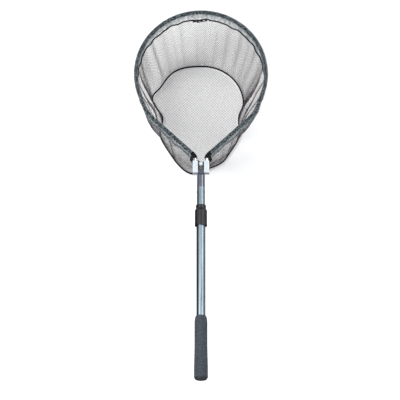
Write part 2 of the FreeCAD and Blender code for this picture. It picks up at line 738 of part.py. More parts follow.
def set_screw_y():
    """Where a set screw meets the hoop's end inside its block."""
    return block_y1 - s.hoop_socket * SCREW_DEPTH


def make_yoke():
    """Centre knuckle with its crossbar, stop plate and the screws from below."""
    knuckle = rod("knuckle_disc", X_AXIS, s.knuckle_radius, s.knuckle_half * 2,
                  -s.knuckle_half, hinge_y, hinge_z)
    bar_y0 = block_y1 - s.bar_length
    web_top = hinge_z - s.knuckle_radius - s.moving_gap * FORK_ROOM
    neck_half = s.knuckle_radius * KNUCKLE_NECK
    neck = box("knuckle_neck", -s.knuckle_half, s.knuckle_half, hinge_y - neck_half,
               hinge_y + neck_half, web_top - 2, hinge_z - s.knuckle_radius * KNUCKLE_NECK_TOP)
    web = box("knuckle_web", -s.knuckle_half, s.knuckle_half, hinge_y - neck_half, block_y1,
              block_bottom, web_top)
    bar = box("crossbar", -block_outer, block_outer, bar_y0, block_y1, block_bottom, bar_top)
    pin_hole = rod("knuckle_pin_hole", X_AXIS, s.pin_radius + s.glue_gap,
                   s.knuckle_half * 2 + 2, -s.knuckle_half - 1, hinge_y, hinge_z)
    bar_screw_y = screw_rows()[0][1]
    holes = []
    for side, sign in (("right", 1), ("left", -1)):
        x = screw_x * sign
        holes.append(rod(f"bar_hole_{side}", Z_AXIS, s.screw_radius + s.glue_gap,
                         s.bar_thick + 2, x, bar_screw_y, block_bottom - 1))
    solid = joined("crossbar_solid", [knuckle, neck, web, bar])
    keep("yoke_crossbar", less("crossbar_cut", solid, [pin_hole] + holes))

    stop_y0 = hinge_y - s.stop_back
    stop_bottom = block_bottom - s.stop_thick
    plate = box("stop_plate", -block_outer, block_outer, stop_y0, stop_y0 + s.stop_length,
                stop_bottom, block_bottom)
    stop_screw_y = screw_rows()[1][1]
    stop_holes = []
    for side, sign in (("right", 1), ("left", -1)):
        x = screw_x * sign
        stop_holes.append(rod(f"stop_hole_{side}", Z_AXIS, s.screw_radius + s.glue_gap,
                              s.stop_thick + 2, x, stop_screw_y, stop_bottom - 1))
    keep("yoke_stop", less("stop_cut", plate, stop_holes))

    screws = []
    for side, sign in (("right", 1), ("left", -1)):
        x = screw_x * sign
        for row_name, y in screw_rows():
            under = block_bottom if row_name == "bar" else stop_bottom
            plate_thick = s.bar_thick if row_name == "bar" else s.stop_thick
            shank = rod(f"screw_{side}_{row_name}", Z_AXIS, s.screw_radius,
                        plate_thick + s.screw_bite, x, y, under)
            head = rod(f"screw_head_{side}_{row_name}", Z_AXIS, s.screw_head_radius,
                       s.screw_head_depth, x, y, under - s.screw_head_depth)
            screws.append(joined(f"screw_solid_{side}_{row_name}", [shank, head]))
    keep("yoke_screws", group("screw_set", screws))

    set_length = -hoop_tube_radius - block_bottom - s.glue_gap
    set_screws = [
        rod(f"set_screw_{side}", Z_AXIS, s.rivet_radius, set_length,
            hoop_x * sign, set_screw_y(), block_bottom)
        for side, sign in (("right", 1), ("left", -1))
    ]
    keep("hoop_screws", group("set_screw_pair", set_screws))


# ---------------------------------------------------------------------------- hoop and netting


class Outline:
    """A net-shaped loop: a large arc at the far end, straight sides, bends and sloping arms.

    The arms are lines of a given slope that pass outside the big circle by the bulge, so the
    whole loop follows from its radius. Insets give parallel loops inside it.
    """

    def __init__(self, centre_y, radius, side_angle, bulge, arm_angle, corner_radius, nose_radius):
        self.centre_y = centre_y
        self.radius = radius
        self.side = math.radians(side_angle)
        self.arm = math.radians(arm_angle)
        self.bulge = bulge
        self.corner_radius = corner_radius
        self.nose_radius = nose_radius

    def arm_line(self, inset=0.0):
        """A point on the right arm's line, on the loop's middle line, and its direction."""
        direction = V(math.cos(self.arm), math.sin(self.arm), 0)
        drop = (self.radius + self.bulge - inset) / math.cos(self.arm)
        return V(0, self.centre_y - drop, 0), direction

    def side_line(self, inset=0.0):
        """Where the big arc ends on the right, and the side's direction to the front."""
        reach = self.radius - inset
        point = V(reach * math.cos(self.side), self.centre_y - reach * math.sin(self.side), 0)
        return point, V(-math.sin(self.side), -math.cos(self.side), 0)

    def corner(self, inset=0.0):
        """Start and end of the right bend between side and arm, and its middle point."""
        start, down = self.side_line(inset)
        foot, up = self.arm_line(inset)
        cross = down.x * up.y - down.y * up.x
        gap = foot - start
        meet = start + down * ((gap.x * up.y - gap.y * up.x) / cross)
        turn = down.getAngle(-up)
        radius = self.corner_radius - inset
        reach = radius * math.tan(turn / 2)
        before, after = meet - down * reach, meet - up * reach
        inward = (before - meet) + (after - meet)
        inward.normalize()
        middle = meet + inward * (radius / math.cos(turn / 2) - radius)
        return before, middle, after

    def far_arc(self, inset=0.0):
        """The big arc from the right side over the far end to the left side."""
        start, _ = self.side_line(inset)
        top = V(0, self.centre_y + self.radius - inset, 0)
        return Part.Arc(start, top, mirrored(start)).toShape()

    def loop(self, z, inset=0.0):
        """The closed loop at a height, as a wire of tangent lines and arcs."""
        before, middle, after = self.corner(inset)
        foot, up = self.arm_line(inset)
        radius = self.nose_radius - inset
        tangent = foot + up * (radius * math.tan(self.arm))
        nose = V(0, foot.y + radius / math.cos(self.arm) - radius, 0)
        start, _ = self.side_line(inset)
        edges = [
            Part.Arc(mirrored(tangent), nose, tangent).toShape(),
            Part.makeLine(tangent, after),
            Part.Arc(after, middle, before).toShape(),
            Part.makeLine(before, start),
            self.far_arc(inset),
            Part.makeLine(mirrored(start), mirrored(before)),
            Part.Arc(mirrored(before), mirrored(middle), mirrored(after)).toShape(),
            Part.makeLine(mirrored(after), mirrored(tangent)),
        ]
        wire = Part.Wire(edges)
        wire.translate(V(0, 0, z))
        return wire


def mirrored(point):
    """The same point on the other side of the handle."""
    return V(-point.x, point.y, point.z)


def neck_bend():
    """The right arm's bend into its block: end of the straight, middle, start of the arm."""
    angle = math.radians(90 - s.hoop_arm_angle.value)
    radius = s.neck_bend_radius.value
    start = V(hoop_x.value, (block_y1 + s.neck_straight).value, 0)
    centre = start + V(radius, 0, 0)
    middle = centre - V(radius * math.cos(angle / 2), -radius * math.sin(angle / 2), 0)
    end = centre - V(radius * math.cos(angle), -radius * math.sin(angle), 0)
    return start, middle, end


def hoop_outline():
    """The hoop's loop, placed so that its arms meet the bends out of the blocks."""
    _, _, arm_start = neck_bend()
    arm = math.radians(s.hoop_arm_angle.value)
    foot_y = arm_start.y - arm_start.x * math.tan(arm)
    centre_y = foot_y + (s.hoop_radius + s.hoop_bulge).value / math.cos(arm)
    return Outline(centre_y, s.hoop_radius.value, s.hoop_side_angle.value, s.hoop_bulge.value,
                   s.hoop_arm_angle.value, s.hoop_corner_radius.value, s.nose_radius.value)


def base_outline():
    """The base panel's loop under the hoop's middle."""
    centre_y = hoop_outline().centre_y + s.base_shift.value
    return Outline(centre_y, s.base_radius.value, s.base_side_angle.value, s.base_bulge.value,
                   s.base_arm_angle.value, s.base_corner_radius.value, s.base_nose_radius.value)


def arm_point(distance):
    """The point of the right arm at a distance from the neck bend."""
    _, _, start = neck_bend()
    _, up = hoop_outline().arm_line()
    return start + up * distance


def hoop_path(arm_start, tail=None):
    """The hoop's centre line from the right arm to the left; the tail adds bend and socket."""
    outline = hoop_outline()
    before, middle, after = outline.corner()
    start, _ = outline.side_line()
    right = [
        Part.makeLine(arm_start, after),
        Part.Arc(after, middle, before).toShape(),
        Part.makeLine(before, start),
    ]
    if tail is not None:
        bend_start, bend_middle, bend_end = neck_bend()
        right.insert(0, Part.Arc(bend_start, bend_middle, bend_end).toShape())
        right.insert(0, Part.makeLine(tail, bend_start))
    left = [edge.mirror(V(0, 0, 0), X_AXIS) for edge in reversed(right)]
    return Part.Wire(Part.__sortEdges__(right + [outline.far_arc()] + left))


def swept(path, start, direction, radius):
    """A round bar along a path."""
    section = Part.Wire(Part.makeCircle(radius, start, direction))
    return path.makePipeShell([section], True, True, 2)


def feature(label, shape):
    """Keep a shape that has no sketch or primitive of its own."""
    obj = doc.addObject("Part::Feature", label + "_shape")
    obj.Shape = shape
    obj.Placement = FreeCAD.Placement()
    return keep(label, obj)


def make_hoop():
    """The bent hoop tube with both ends in the blocks."""
    tail = V(hoop_x.value, (block_y1 - s.hoop_socket).value + s.socket_gap.value, 0)
    _, _, bend_end = neck_bend()
    path = hoop_path(bend_end, tail)
    outside = swept(path, tail, Y_AXIS, hoop_tube_radius.value)
    inside = swept(path, tail, Y_AXIS, (hoop_tube_radius - s.hoop_tube_wall).value)
    feature("hoop_tube", outside.cut(inside))


def make_sleeve():
    """The mesh sleeve round the hoop, and the black end patches with their hanging flaps."""
    sleeve_start = s.patch_start.value + s.patch_length.value + s.sleeve_gap.value
    start = arm_point(sleeve_start)
    _, up = hoop_outline().arm_line()
    path = hoop_path(start)
    outside = swept(path, start, up, sleeve_outer.value)
    inside = swept(path, start, up, sleeve_inner.value)
    feature("net_sleeve", outside.cut(inside))

    near = arm_point(s.patch_start.value)
    length = s.patch_length.value
    outer = sleeve_inner.value + s.patch_thick.value
    wrap = Part.makeCylinder(outer, length, near, up)
    outward = V(up.y, -up.x, 0)
    flap = Part.makeBox(length, s.patch_flap.value, s.patch_drop.value)
    turn = FreeCAD.Rotation(Z_AXIS, s.hoop_arm_angle.value)
    corner = near + outward * s.patch_flap.value - V(0, 0, s.patch_drop.value + sleeve_inner.value)
    flap.Placement = FreeCAD.Placement(corner, turn)
    right = wrap.fuse(flap).cut(Part.makeCylinder(sleeve_inner.value, length, near, up))
    right = right.removeSplitter()
    feature("sleeve_patch_right", right)
    feature("sleeve_patch_left", right.mirror(V(0, 0, 0), X_AXIS))


def closed_bar(outline, z, inset, radius):
    """A round cord along one of the net's loops."""
    path = outline.loop(z, inset)
    first = path.OrderedEdges[0]
    start = first.valueAt(first.FirstParameter)
    along = first.tangentAt(first.FirstParameter)
    section = Part.Wire(Part.makeCircle(radius, start, along))
    return path.makePipeShell([section], True, True, 2)


def make_bag():
    """Netting wall, base panel and the two cords."""
    hoop, base = hoop_outline(), base_outline()
    thick = s.net_thick.value
    seam_z = -s.seam_depth.value

    def funnel(extra):
        upper = hoop.loop(mouth_z.value, s.mouth_inset.value + extra)
        seam = hoop.loop(seam_z, s.seam_inset.value + extra)
        lower = base.loop(wall_bottom_z.value, extra)
        skirt = Part.makeLoft([upper, seam], True, True)
        wall = Part.makeLoft([seam, lower], True, True)
        return skirt.fuse(wall).removeSplitter()

    feature("net_wall", funnel(0.0).cut(funnel(thick)))
    cord_inset = (s.seam_inset + s.net_thick + s.cord_gap + s.cord_radius).value
    feature("seam_cord", closed_bar(hoop, seam_z, cord_inset, s.cord_radius.value))
    piping_inset = thick / 2
    feature("base_piping", closed_bar(base, piping_z.value, piping_inset, s.piping_radius.value))
    panel_inset = piping_inset + (s.piping_radius + s.piping_gap).value
    panel = Part.Face(base.loop(piping_z.value - s.base_thick.value / 2, panel_inset))
    feature("net_base", panel.extrude(V(0, 0, s.base_thick.value)))


# --------------------------------------------------------------------------- checks and files


def check_document():
    """Stop if any object failed or any sub-part is not a sound solid."""
    for obj in doc.Objects:
        if "Invalid" in obj.State or "Error" in obj.State:
            raise RuntimeError(f"{obj.Label} failed: {obj.State}")
    for label, obj in parts.items():
        shape = obj.Shape
        if shape.isNull() or not shape.isValid() or not shape.Solids:
            raise RuntimeError(f"{label} has no sound solid")
        volume = sum(solid.Volume for solid in shape.Solids)
        print(f"{label}: {len(shape.Solids)} solid(s), {volume / 1000:.2f} cm3")


def write_files():
    """Write each sub-part to its own file."""
    os.makedirs("parts", exist_ok=True)
    for label, obj in parts.items():
        obj.Shape.exportStep(f"parts/{label}.step")


make_handle()
make_collar()
make_pole()
make_head()
make_head_trim()
make_button()
make_hinge()
for block_side, block_sign in (("right", 1), ("left", -1)):
    make_block(block_side, block_sign)
make_yoke()
make_hoop()
make_sleeve()
make_bag()
doc.recompute()
check_document()
write_files()
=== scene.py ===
"""A folding landing net with a telescopic handle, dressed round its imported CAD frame.

Lengths are in millimetres until a mesh is made, which turns them to metres.
"""

import logging
import math
from collections.abc import Callable
from dataclasses import dataclass, field
from enum import Enum

import bpy
import numpy as np
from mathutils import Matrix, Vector


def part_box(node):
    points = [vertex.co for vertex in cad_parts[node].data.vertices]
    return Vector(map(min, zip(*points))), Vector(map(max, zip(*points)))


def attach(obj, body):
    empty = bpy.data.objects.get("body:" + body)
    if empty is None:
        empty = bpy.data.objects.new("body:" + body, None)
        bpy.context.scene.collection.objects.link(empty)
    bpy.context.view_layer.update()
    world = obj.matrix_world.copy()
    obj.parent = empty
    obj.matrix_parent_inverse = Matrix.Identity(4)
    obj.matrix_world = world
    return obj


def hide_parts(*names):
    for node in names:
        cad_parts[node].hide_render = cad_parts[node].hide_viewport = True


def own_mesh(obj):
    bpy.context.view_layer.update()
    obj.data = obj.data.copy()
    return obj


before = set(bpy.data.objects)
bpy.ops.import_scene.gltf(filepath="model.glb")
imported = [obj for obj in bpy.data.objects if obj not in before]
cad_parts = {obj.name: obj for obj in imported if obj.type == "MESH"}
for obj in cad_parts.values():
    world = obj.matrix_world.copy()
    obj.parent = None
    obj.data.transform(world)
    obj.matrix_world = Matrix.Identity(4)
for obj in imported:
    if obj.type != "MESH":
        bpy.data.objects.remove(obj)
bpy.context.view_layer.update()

log = logging.getLogger("landing_net")

MM = 0.001
UP = np.array([0.0, 0.0, 1.0])
# the slope of the hoop's arms, in degrees from the line across the handle
ARM_ANGLE = 43.0
# how far the piping's middle line runs inside the base panel's edge
PIPING_INSET = 0.5
# points on an outline's arc, arm and straight side, and on a line that is cut or measured
ARC_POINTS, ARM_POINTS, SIDE_POINTS, CUT_POINTS, MEASURE_POINTS = 90, 60, 30, 1200, 2000
# points along one turn of thread, and round the thread itself
TURN_POINTS, THREAD_POINTS = 12, 5
# a braided cord's sides, its strands each way, and the middle and swing of its strands' height,
# in shares of its radius
BRAID_SIDES, BRAID_STRANDS, BRAID_MIDDLE, BRAID_SWING = 12, 3, 0.93, 0.07
# finer octaves of the mottle and of the grain
MOTTLE_DETAIL, GRAIN_DETAIL = 3.0, 2.0
# radians of phase that a wave texture runs through in one unit at a scale of one
WAVE_RADIANS = 20


# ---------------------------------------------------------------------------------- materials


def linear(colour: str) -> tuple[float, float, float, float]:
    """Turns an sRGB hex colour to linear RGBA.

    Args:
        colour: six hex digits with a leading hash.

    Returns:
        Red, green, blue and an alpha of one.
    """
    parts = [int(colour[i : i + 2], 16) / 255 for i in (1, 3, 5)]
    light = [c / 12.92 if c <= 0.04045 else ((c + 0.055) / 1.055) ** 2.4 for c in parts]
    return (light[0], light[1], light[2], 1.0)


def per_metre(spacing: float) -> float:
    """The texture scale that repeats once in a spacing of so many millimetres."""
    return 1 / (spacing * MM)


def add_node(
    tree: bpy.types.NodeTree, kind: str, inputs: dict | None = None, **settings: object
) -> bpy.types.Node:
    """Adds a node with its settings, input values and links.

    Args:
        tree: the node tree it goes in.
        kind: the node's type, such as ShaderNodeTexNoise.
        inputs: a value or an output socket for each named or numbered input.
        **settings: the node's own properties.

    Returns:
        The new node.
    """
    node = tree.nodes.new(kind)
    for key, value in settings.items():
        setattr(node, key, value)
    for key, value in (inputs or {}).items():
        if isinstance(value, bpy.types.NodeSocket):
            tree.links.new(value, node.inputs[key])
        else:
            node.inputs[key].default_value = value
    return node


class Pattern(Enum):
    """How a pattern runs over a piece."""

    EVEN = (1.0, 1.0, 1.0)
    ALONG_HANDLE = (1.0, 0.012, 1.0)


@dataclass(frozen=True)
class Finish:
    """A surface: its two colours, how it meets light, and the grain that both follow.

    The colour wanders between light and dark with a slow mottle, and a finer grain lifts the
    surface and changes its roughness, so no finish is one flat tone.
    """

    name: str
    dark: str
    light: str
    roughness: float
    metallic: float = 0.0
    ior: float = 1.5
    coat: float = 0.0
    coat_roughness: float = 0.1
    sheen: float = 0.0
    anisotropic: float = 0.0
    specular: float = 0.5
    mottle: float = 12.0
    contrast: float = 0.2
    grain: float = 1.0
    relief: float = 0.05
    roughness_spread: float = 0.08
    pattern: Pattern = Pattern.EVEN

    def build(self) -> bpy.types.Material:
        """Makes the material.

        Returns:
            The node material.
        """
        material = bpy.data.materials.new(self.name)
        material.use_nodes = True
        tree = material.node_tree
        tree.nodes.clear()
        place = add_node(tree, "ShaderNodeTexCoord").outputs["Object"]
        along = add_node(
            tree, "ShaderNodeMapping", {"Vector": place, "Scale": self.pattern.value}
        ).outputs["Vector"]
        mottle = self.noise(tree, along, self.mottle, MOTTLE_DETAIL, self.contrast)
        grain = self.grain_height(tree, along)
        colour = add_node(
            tree,
            "ShaderNodeMix",
            {0: mottle, 6: linear(self.dark), 7: linear(self.light)},
            data_type="RGBA",
        )
        rough = add_node(
            tree,
            "ShaderNodeMapRange",
            {
                "Value": grain,
                "To Min": max(0.02, self.roughness - self.roughness_spread),
                "To Max": min(1.0, self.roughness + self.roughness_spread),
            },
        )
        bump = add_node(
            tree,
            "ShaderNodeBump",
            {"Height": grain, "Strength": 0.6, "Distance": self.relief * MM},
        )
        shader = add_node(
            tree,
            "ShaderNodeBsdfPrincipled",
            {
                "Base Color": colour.outputs[2],
                "Roughness": rough.outputs["Result"],
                "Normal": bump.outputs["Normal"],
                "Metallic": self.metallic,
                "IOR": self.ior,
                "Coat Weight": self.coat,
                "Coat Roughness": self.coat_roughness,
                "Sheen Weight": self.sheen,
                "Sheen Roughness": 0.5,
                "Anisotropic": self.anisotropic,
                "Specular IOR Level": self.specular,
            },
        )
        add_node(tree, "ShaderNodeOutputMaterial", {"Surface": shader.outputs["BSDF"]})
        return material

    def noise(
        self,
        tree: bpy.types.NodeTree,
        along: bpy.types.NodeSocket,
        spacing: float,
        detail: float,
        half_range: float = 0.2,
    ) -> bpy.types.NodeSocket:
        """Cloudy noise.

        Args:
            tree: the material's nodes.
            along: the coordinates it follows.
            spacing: the size of its clouds in millimetres.
            detail: how many finer octaves it has.
            half_range: how far from the middle it reaches its ends; less gives more contrast.

        Returns:
            Its value, from 0 to 1.
        """
        node = add_node(
            tree,
            "ShaderNodeTexNoise",
            {"Vector": along, "Scale": per_metre(spacing), "Detail": detail, "Roughness": 0.6},
        )
        spread = add_node(
            tree,
            "ShaderNodeMapRange",
            {
                "Value": node.outputs[0],
                "From Min": 0.5 - half_range,
                "From Max": 0.5 + half_range,
            },
        )
        return spread.outputs["Result"]

    def grain_height(
        self, tree: bpy.types.NodeTree, along: bpy.types.NodeSocket
    ) -> bpy.types.NodeSocket:
        """The fine grain's height: plain noise, unless the finish has its own."""
        return self.noise(tree, along, self.grain, GRAIN_DETAIL)


@dataclass(frozen=True)
class WovenFinish(Finish):
    """Cloth whose grain is two crossing sets of ribs, as of a coarse weave."""

    # millimetres to one radian of the ribs, which are 2 pi times as far apart
    wave_radian: float = 1.6

    def grain_height(
        self, tree: bpy.types.NodeTree, along: bpy.types.NodeSocket
    ) -> bpy.types.NodeSocket:
        """Two crossing sets of waves, for warp and weft."""
        waves = [
            add_node(
                tree,
                "ShaderNodeTexWave",
                {
                    "Vector": along,
                    "Scale": per_metre(self.wave_radian) / WAVE_RADIANS,
                    "Distortion": 0.6,
                    "Detail Scale": 4.0,
                },
                bands_direction=way,
            ).outputs[1]
            for way in ("X", "Z")
        ]
        both = add_node(tree, "ShaderNodeMath", {0: waves[0], 1: waves[1]}, operation="MAXIMUM")
        return both.outputs[0]


@dataclass(frozen=True)
class FoamFinish(Finish):
    """Closed-cell foam: round cells with thin walls, cut open at the skin."""

    cell: float = 1.4

    def grain_height(
        self, tree: bpy.types.NodeTree, along: bpy.types.NodeSocket
    ) -> bpy.types.NodeSocket:
        """Cells of foam, with noise over them."""
        cells = add_node(
            tree,
            "ShaderNodeTexVoronoi",
            {"Vector": along, "Scale": per_metre(self.cell)},
            feature="SMOOTH_F1",
        )
        cloud = self.noise(tree, along, self.grain, GRAIN_DETAIL)
        mixed = add_node(
            tree, "ShaderNodeMath", {0: cells.outputs["Distance"], 1: cloud}, operation="MULTIPLY"
        )
        return mixed.outputs[0]


class Surface(Enum):
    """Every finish of the net, by what it is made of and how."""

    # drawn aluminium tube, satin anodised: fine die lines along it stretch the highlight
    ANODISED_TUBE = Finish(
        "anodised_aluminium_satin", "#76838b", "#84919a", 0.42, metallic=1.0, anisotropic=0.4,
        mottle=3.0, grain=0.8, relief=0.02, pattern=Pattern.ALONG_HANDLE,
    )
    # bright drawn aluminium hoop: smoother than the handle, with a clear highlight
    DRAWN_HOOP = Finish(
        "aluminium_bright_drawn", "#cdd2d8", "#d9dde2", 0.24, metallic=1.0, mottle=14.0,
        grain=1.0, relief=0.004, roughness_spread=0.03,
    )
    # closed-cell nitrile foam: matt slate skin with 0.4 mm cells, drawn at 1.4 mm to show
    FOAM = FoamFinish(
        "nitrile_foam_closed_cell", "#2c3138", "#3f464e", 0.85, sheen=0.1, specular=0.3,
        mottle=5.0, contrast=0.12, grain=3.0, relief=0.3,
    )
    # moulded rubber: dull black that takes a little shine where it is handled
    RUBBER = Finish(
        "nitrile_rubber_moulded", "#121214", "#1d1d20", 0.62, ior=1.52, mottle=10.0,
        grain=0.6, relief=0.04,
    )
    # nylon moulded in a spark-eroded die: charcoal with a soft broad highlight
    COLLAR_NYLON = Finish(
        "nylon_moulded_charcoal", "#101013", "#1b1b1f", 0.42, ior=1.53, specular=0.35, mottle=12.0,
        grain=0.7, relief=0.05,
    )
    # black moulded ABS: smooth and fairly glossy
    BLACK_TRIM = Finish(
        "abs_moulded_black", "#070708", "#0e0e10", 0.28, ior=1.54, mottle=6.0, grain=0.8,
        relief=0.02,
    )
    # moulded acetal in its natural white: waxy, with soft light inside
    ACETAL = Finish(
        "acetal_moulded_natural", "#c9c8c0", "#dcdbd4", 0.38, ior=1.48, mottle=10.0,
        grain=1.0, relief=0.02,
    )
    # die-cast aluminium under slate enamel: glossy coat over a slightly uneven casting
    SLATE_ENAMEL = Finish(
        "cast_aluminium_slate_enamel", "#4d505b", "#5a5d68", 0.36, metallic=0.55, coat=0.7,
        coat_roughness=0.12, mottle=9.0, grain=2.5, relief=0.03, roughness_spread=0.04,
    )
    # die-cast aluminium under pale silver enamel: bright and smooth, faint orange peel
    SILVER_ENAMEL = Finish(
        "cast_aluminium_silver_enamel", "#ccd3d9", "#d6dce1", 0.34, metallic=0.3, coat=0.4,
        coat_roughness=0.15, mottle=9.0, grain=2.5, relief=0.02, roughness_spread=0.04,
    )
    # bright nickel plate: a mirror with a faint polish haze
    NICKEL = Finish(
        "nickel_bright_plate", "#bdbcb8", "#d3d2cf", 0.14, metallic=1.0, mottle=4.0,
        grain=1.0, relief=0.005, roughness_spread=0.04,
    )
    # zinc-plated screw steel: greyer, with a satin bloom
    ZINC = Finish(
        "steel_zinc_plated", "#8a8d91", "#a9acb0", 0.36, metallic=1.0, mottle=2.0,
        grain=0.6, relief=0.02,
    )
    # turned stainless pin: bright with fine turning marks round it
    STAINLESS = Finish(
        "stainless_steel_turned", "#9fa1a4", "#b9bbbe", 0.26, metallic=1.0, mottle=3.0,
        grain=0.5, relief=0.01,
    )
    # doubled polyester mesh gathered on the hoop: bluish dark grey, soft, speckled, with faint
    # ribs about 31 mm apart
    SLEEVE_CLOTH = WovenFinish(
        "polyester_mesh_doubled", "#0b0f11", "#2b3338", 0.85, specular=0.2, mottle=5.0,
        contrast=0.08, wave_radian=5.0, relief=0.4,
    )
    # the sleeve's outer twine: the same polyester, its light tone a painted sky reflection that the mottle
    # scatters at random
    SLEEVE_TWINE = Finish(
        "polyester_twine_slate", "#323c42", "#b3bdc2", 0.6, specular=0.3, mottle=5.0,
        contrast=0.08, grain=1.5, relief=0.05,
    )
    # knotless polyester twine of the bag: thin, dark, slightly glossy from its coating
    NET_TWINE = Finish(
        "polyester_twine_coated", "#332b30", "#55494f", 0.55, specular=0.3, mottle=14.0,
        grain=1.5, relief=0.03,
    )
    # woven polyester tape: black, its weave drawn as ribs about 10 mm apart, far coarser than
    # the real one
    PATCH_CLOTH = WovenFinish(
        "polyester_woven_black", "#060607", "#101013", 0.78, sheen=0.05, specular=0.15,
        mottle=5.0, wave_radian=1.6, relief=0.2,
    )
    # braided polyester cord: matt black with a faint sheen on its strands
    CORD = Finish(
        "polyester_braid_black", "#030304", "#08080a", 0.7, specular=0.15, mottle=3.0,
        grain=0.8, relief=0.06,
    )
    # bonded sewing thread: black, with a waxy shine
    THREAD = Finish(
        "polyester_thread_bonded", "#060607", "#121215", 0.5, specular=0.25, mottle=2.0,
        grain=0.5, relief=0.02,
    )
    # matt black board that the studio puts beside shiny things to give them a dark edge
    BLACK_BOARD = Finish(
        "board_matt_black", "#0a0a0b", "#0e0e0f", 1.0, specular=0.0, mottle=300.0, grain=3.0,
        relief=0.01,
    )
    # white studio paper
    PAPER = Finish(
        "paper_matt_white", "#f4f4f4", "#f7f7f7", 0.9, mottle=300.0, grain=3.0, relief=0.01,
    )


_built: dict[Surface, bpy.types.Material] = {}


def material_of(surface: Surface) -> bpy.types.Material:
    """The material of a surface, made the first time it is wanted."""
    if surface not in _built:
        _built[surface] = surface.value.build()
    return _built[surface]


# -------------------------------------------------------------------------------- mesh making


def resample(line: np.ndarray, count: int) -> np.ndarray:
    """Evenly spaced points along a line.

    Args:
        line: its points, one a row.
        count: how many points to give, ends included.

    Returns:
        The new points.
    """
    steps = np.linalg.norm(np.diff(line, axis=0), axis=1)
    reach = np.concatenate([[0], np.cumsum(steps)])
    wanted = np.linspace(0, reach[-1], count)
    return np.stack([np.interp(wanted, reach, line[:, k]) for k in range(line.shape[1])], 1)


def unit(rows: np.ndarray) -> np.ndarray:
    """The same vectors at a length of one."""
    return rows / np.maximum(np.linalg.norm(rows, axis=-1, keepdims=True), 1e-9)


def grid_faces(rows: int, columns: int, wrap_rows: bool, wrap_columns: bool) -> np.ndarray:
    """The four-cornered faces of a grid of points laid out row by row.

    Args:
        rows: number of rows.
        columns: points in a row.
        wrap_rows: whether the last row joins the first.
        wrap_columns: whether the last column joins the first.

    Returns:
        Corner numbers, one face a row.
    """
    i, j = np.meshgrid(
        np.arange(rows if wrap_rows else rows - 1),
        np.arange(columns if wrap_columns else columns - 1),
        indexing="ij",
    )
    below, right = (i + 1) % rows, (j + 1) % columns
    corners = (i * columns + j, i * columns + right, below * columns + right, below * columns + j)
    return np.stack([c.ravel() for c in corners], 1)


def make_piece(
    name: str, points: np.ndarray, faces: np.ndarray | list, surface: Surface
) -> bpy.types.Object:
    """Makes a mesh piece from points in millimetres.

    Args:
        name: the piece's name.
        points: its corners, in millimetres.
        faces: corner numbers of each face.
        surface: its finish.

    Returns:
        The new object.
    """
    mesh = bpy.data.meshes.new(name)
    mesh.from_pydata((points.reshape(-1, 3) * MM).tolist(), [], [list(map(int, f)) for f in faces])
    mesh.shade_smooth()
    mesh.materials.append(material_of(surface))
    piece = bpy.data.objects.new(name, mesh)
    bpy.context.scene.collection.objects.link(piece)
    return piece


def end_faces(rows: int, columns: int) -> list[list[int]]:
    """The two end faces of a bar: its first ring as it runs and its last one backwards."""
    last = (rows - 1) * columns
    return [list(range(columns)), [last + k for k in reversed(range(columns))]]


def path_frame(path: np.ndarray, closed: bool) -> tuple[np.ndarray, np.ndarray, np.ndarray]:
    """Unit directions at the points of a path.

    Args:
        path: its points.
        closed: whether it is a loop.

    Returns:
        Directions along it, level to its side, and upwards across it.
    """
    if closed:
        along = unit(np.roll(path, -1, 0) - np.roll(path, 1, 0))
    else:
        along = unit(np.gradient(path, axis=0))
    side = unit(np.cross(along, UP))
    return along, side, np.cross(side, along)


def ring_directions(angle: np.ndarray, side: np.ndarray, top: np.ndarray) -> np.ndarray:
    """Directions out of a path.

    Args:
        angle: one row of angles for all of its points, or a row for each.
        side: its sideways directions.
        top: its upward directions.

    Returns:
        A direction for each point and angle.
    """
    angle = np.atleast_2d(angle)[:, :, None]
    return np.cos(angle) * side[:, None] + np.sin(angle) * top[:, None]


def loop_length(loop: np.ndarray) -> float:
    """The length of a closed loop."""
    return np.linalg.norm(np.roll(loop, -1, 0) - loop, axis=1).sum()


def round_bar(
    path: np.ndarray, radii: np.ndarray, closed: bool
) -> tuple[np.ndarray, list[list[int]]]:
    """A bar along a path, with a radius for every point of every ring.

    Args:
        path: its middle line.
        radii: one row for each point of the path, one column for each side.
        closed: whether the path is a loop; an open bar gets end faces.

    Returns:
        Its points and faces.
    """
    sides = radii.shape[1]
    _, side, top = path_frame(path, closed)
    angle = np.linspace(0, 2 * math.pi, sides, endpoint=False)
    points = path[:, None] + radii[:, :, None] * ring_directions(angle, side, top)
    faces = grid_faces(len(path), sides, closed, True)[:, ::-1].tolist()
    if not closed:
        faces += end_faces(len(path), sides)
    return points.reshape(-1, 3), faces


def twines(lines: list[np.ndarray], normals: list[np.ndarray], radius: float) -> tuple:
    """Thin three-sided twines along lines that lie in a cloth's surface.

    Args:
        lines: the points of each twine.
        normals: the cloth's normals at those points.
        radius: the twine's radius.

    Returns:
        Points and faces of them all.
    """
    points, faces, used = [], [], 0
    angle = np.array([90, 210, 330]) * math.pi / 180
    for line, normal in zip(lines, normals):
        along = unit(np.gradient(line, axis=0))
        ring = ring_directions(angle, unit(np.cross(along, normal)), normal)
        points.append((line[:, None] + radius * ring).reshape(-1, 3))
        faces.append(grid_faces(len(line), 3, False, True) + used)
        used += len(line) * 3
    return np.concatenate(points), np.concatenate(faces)


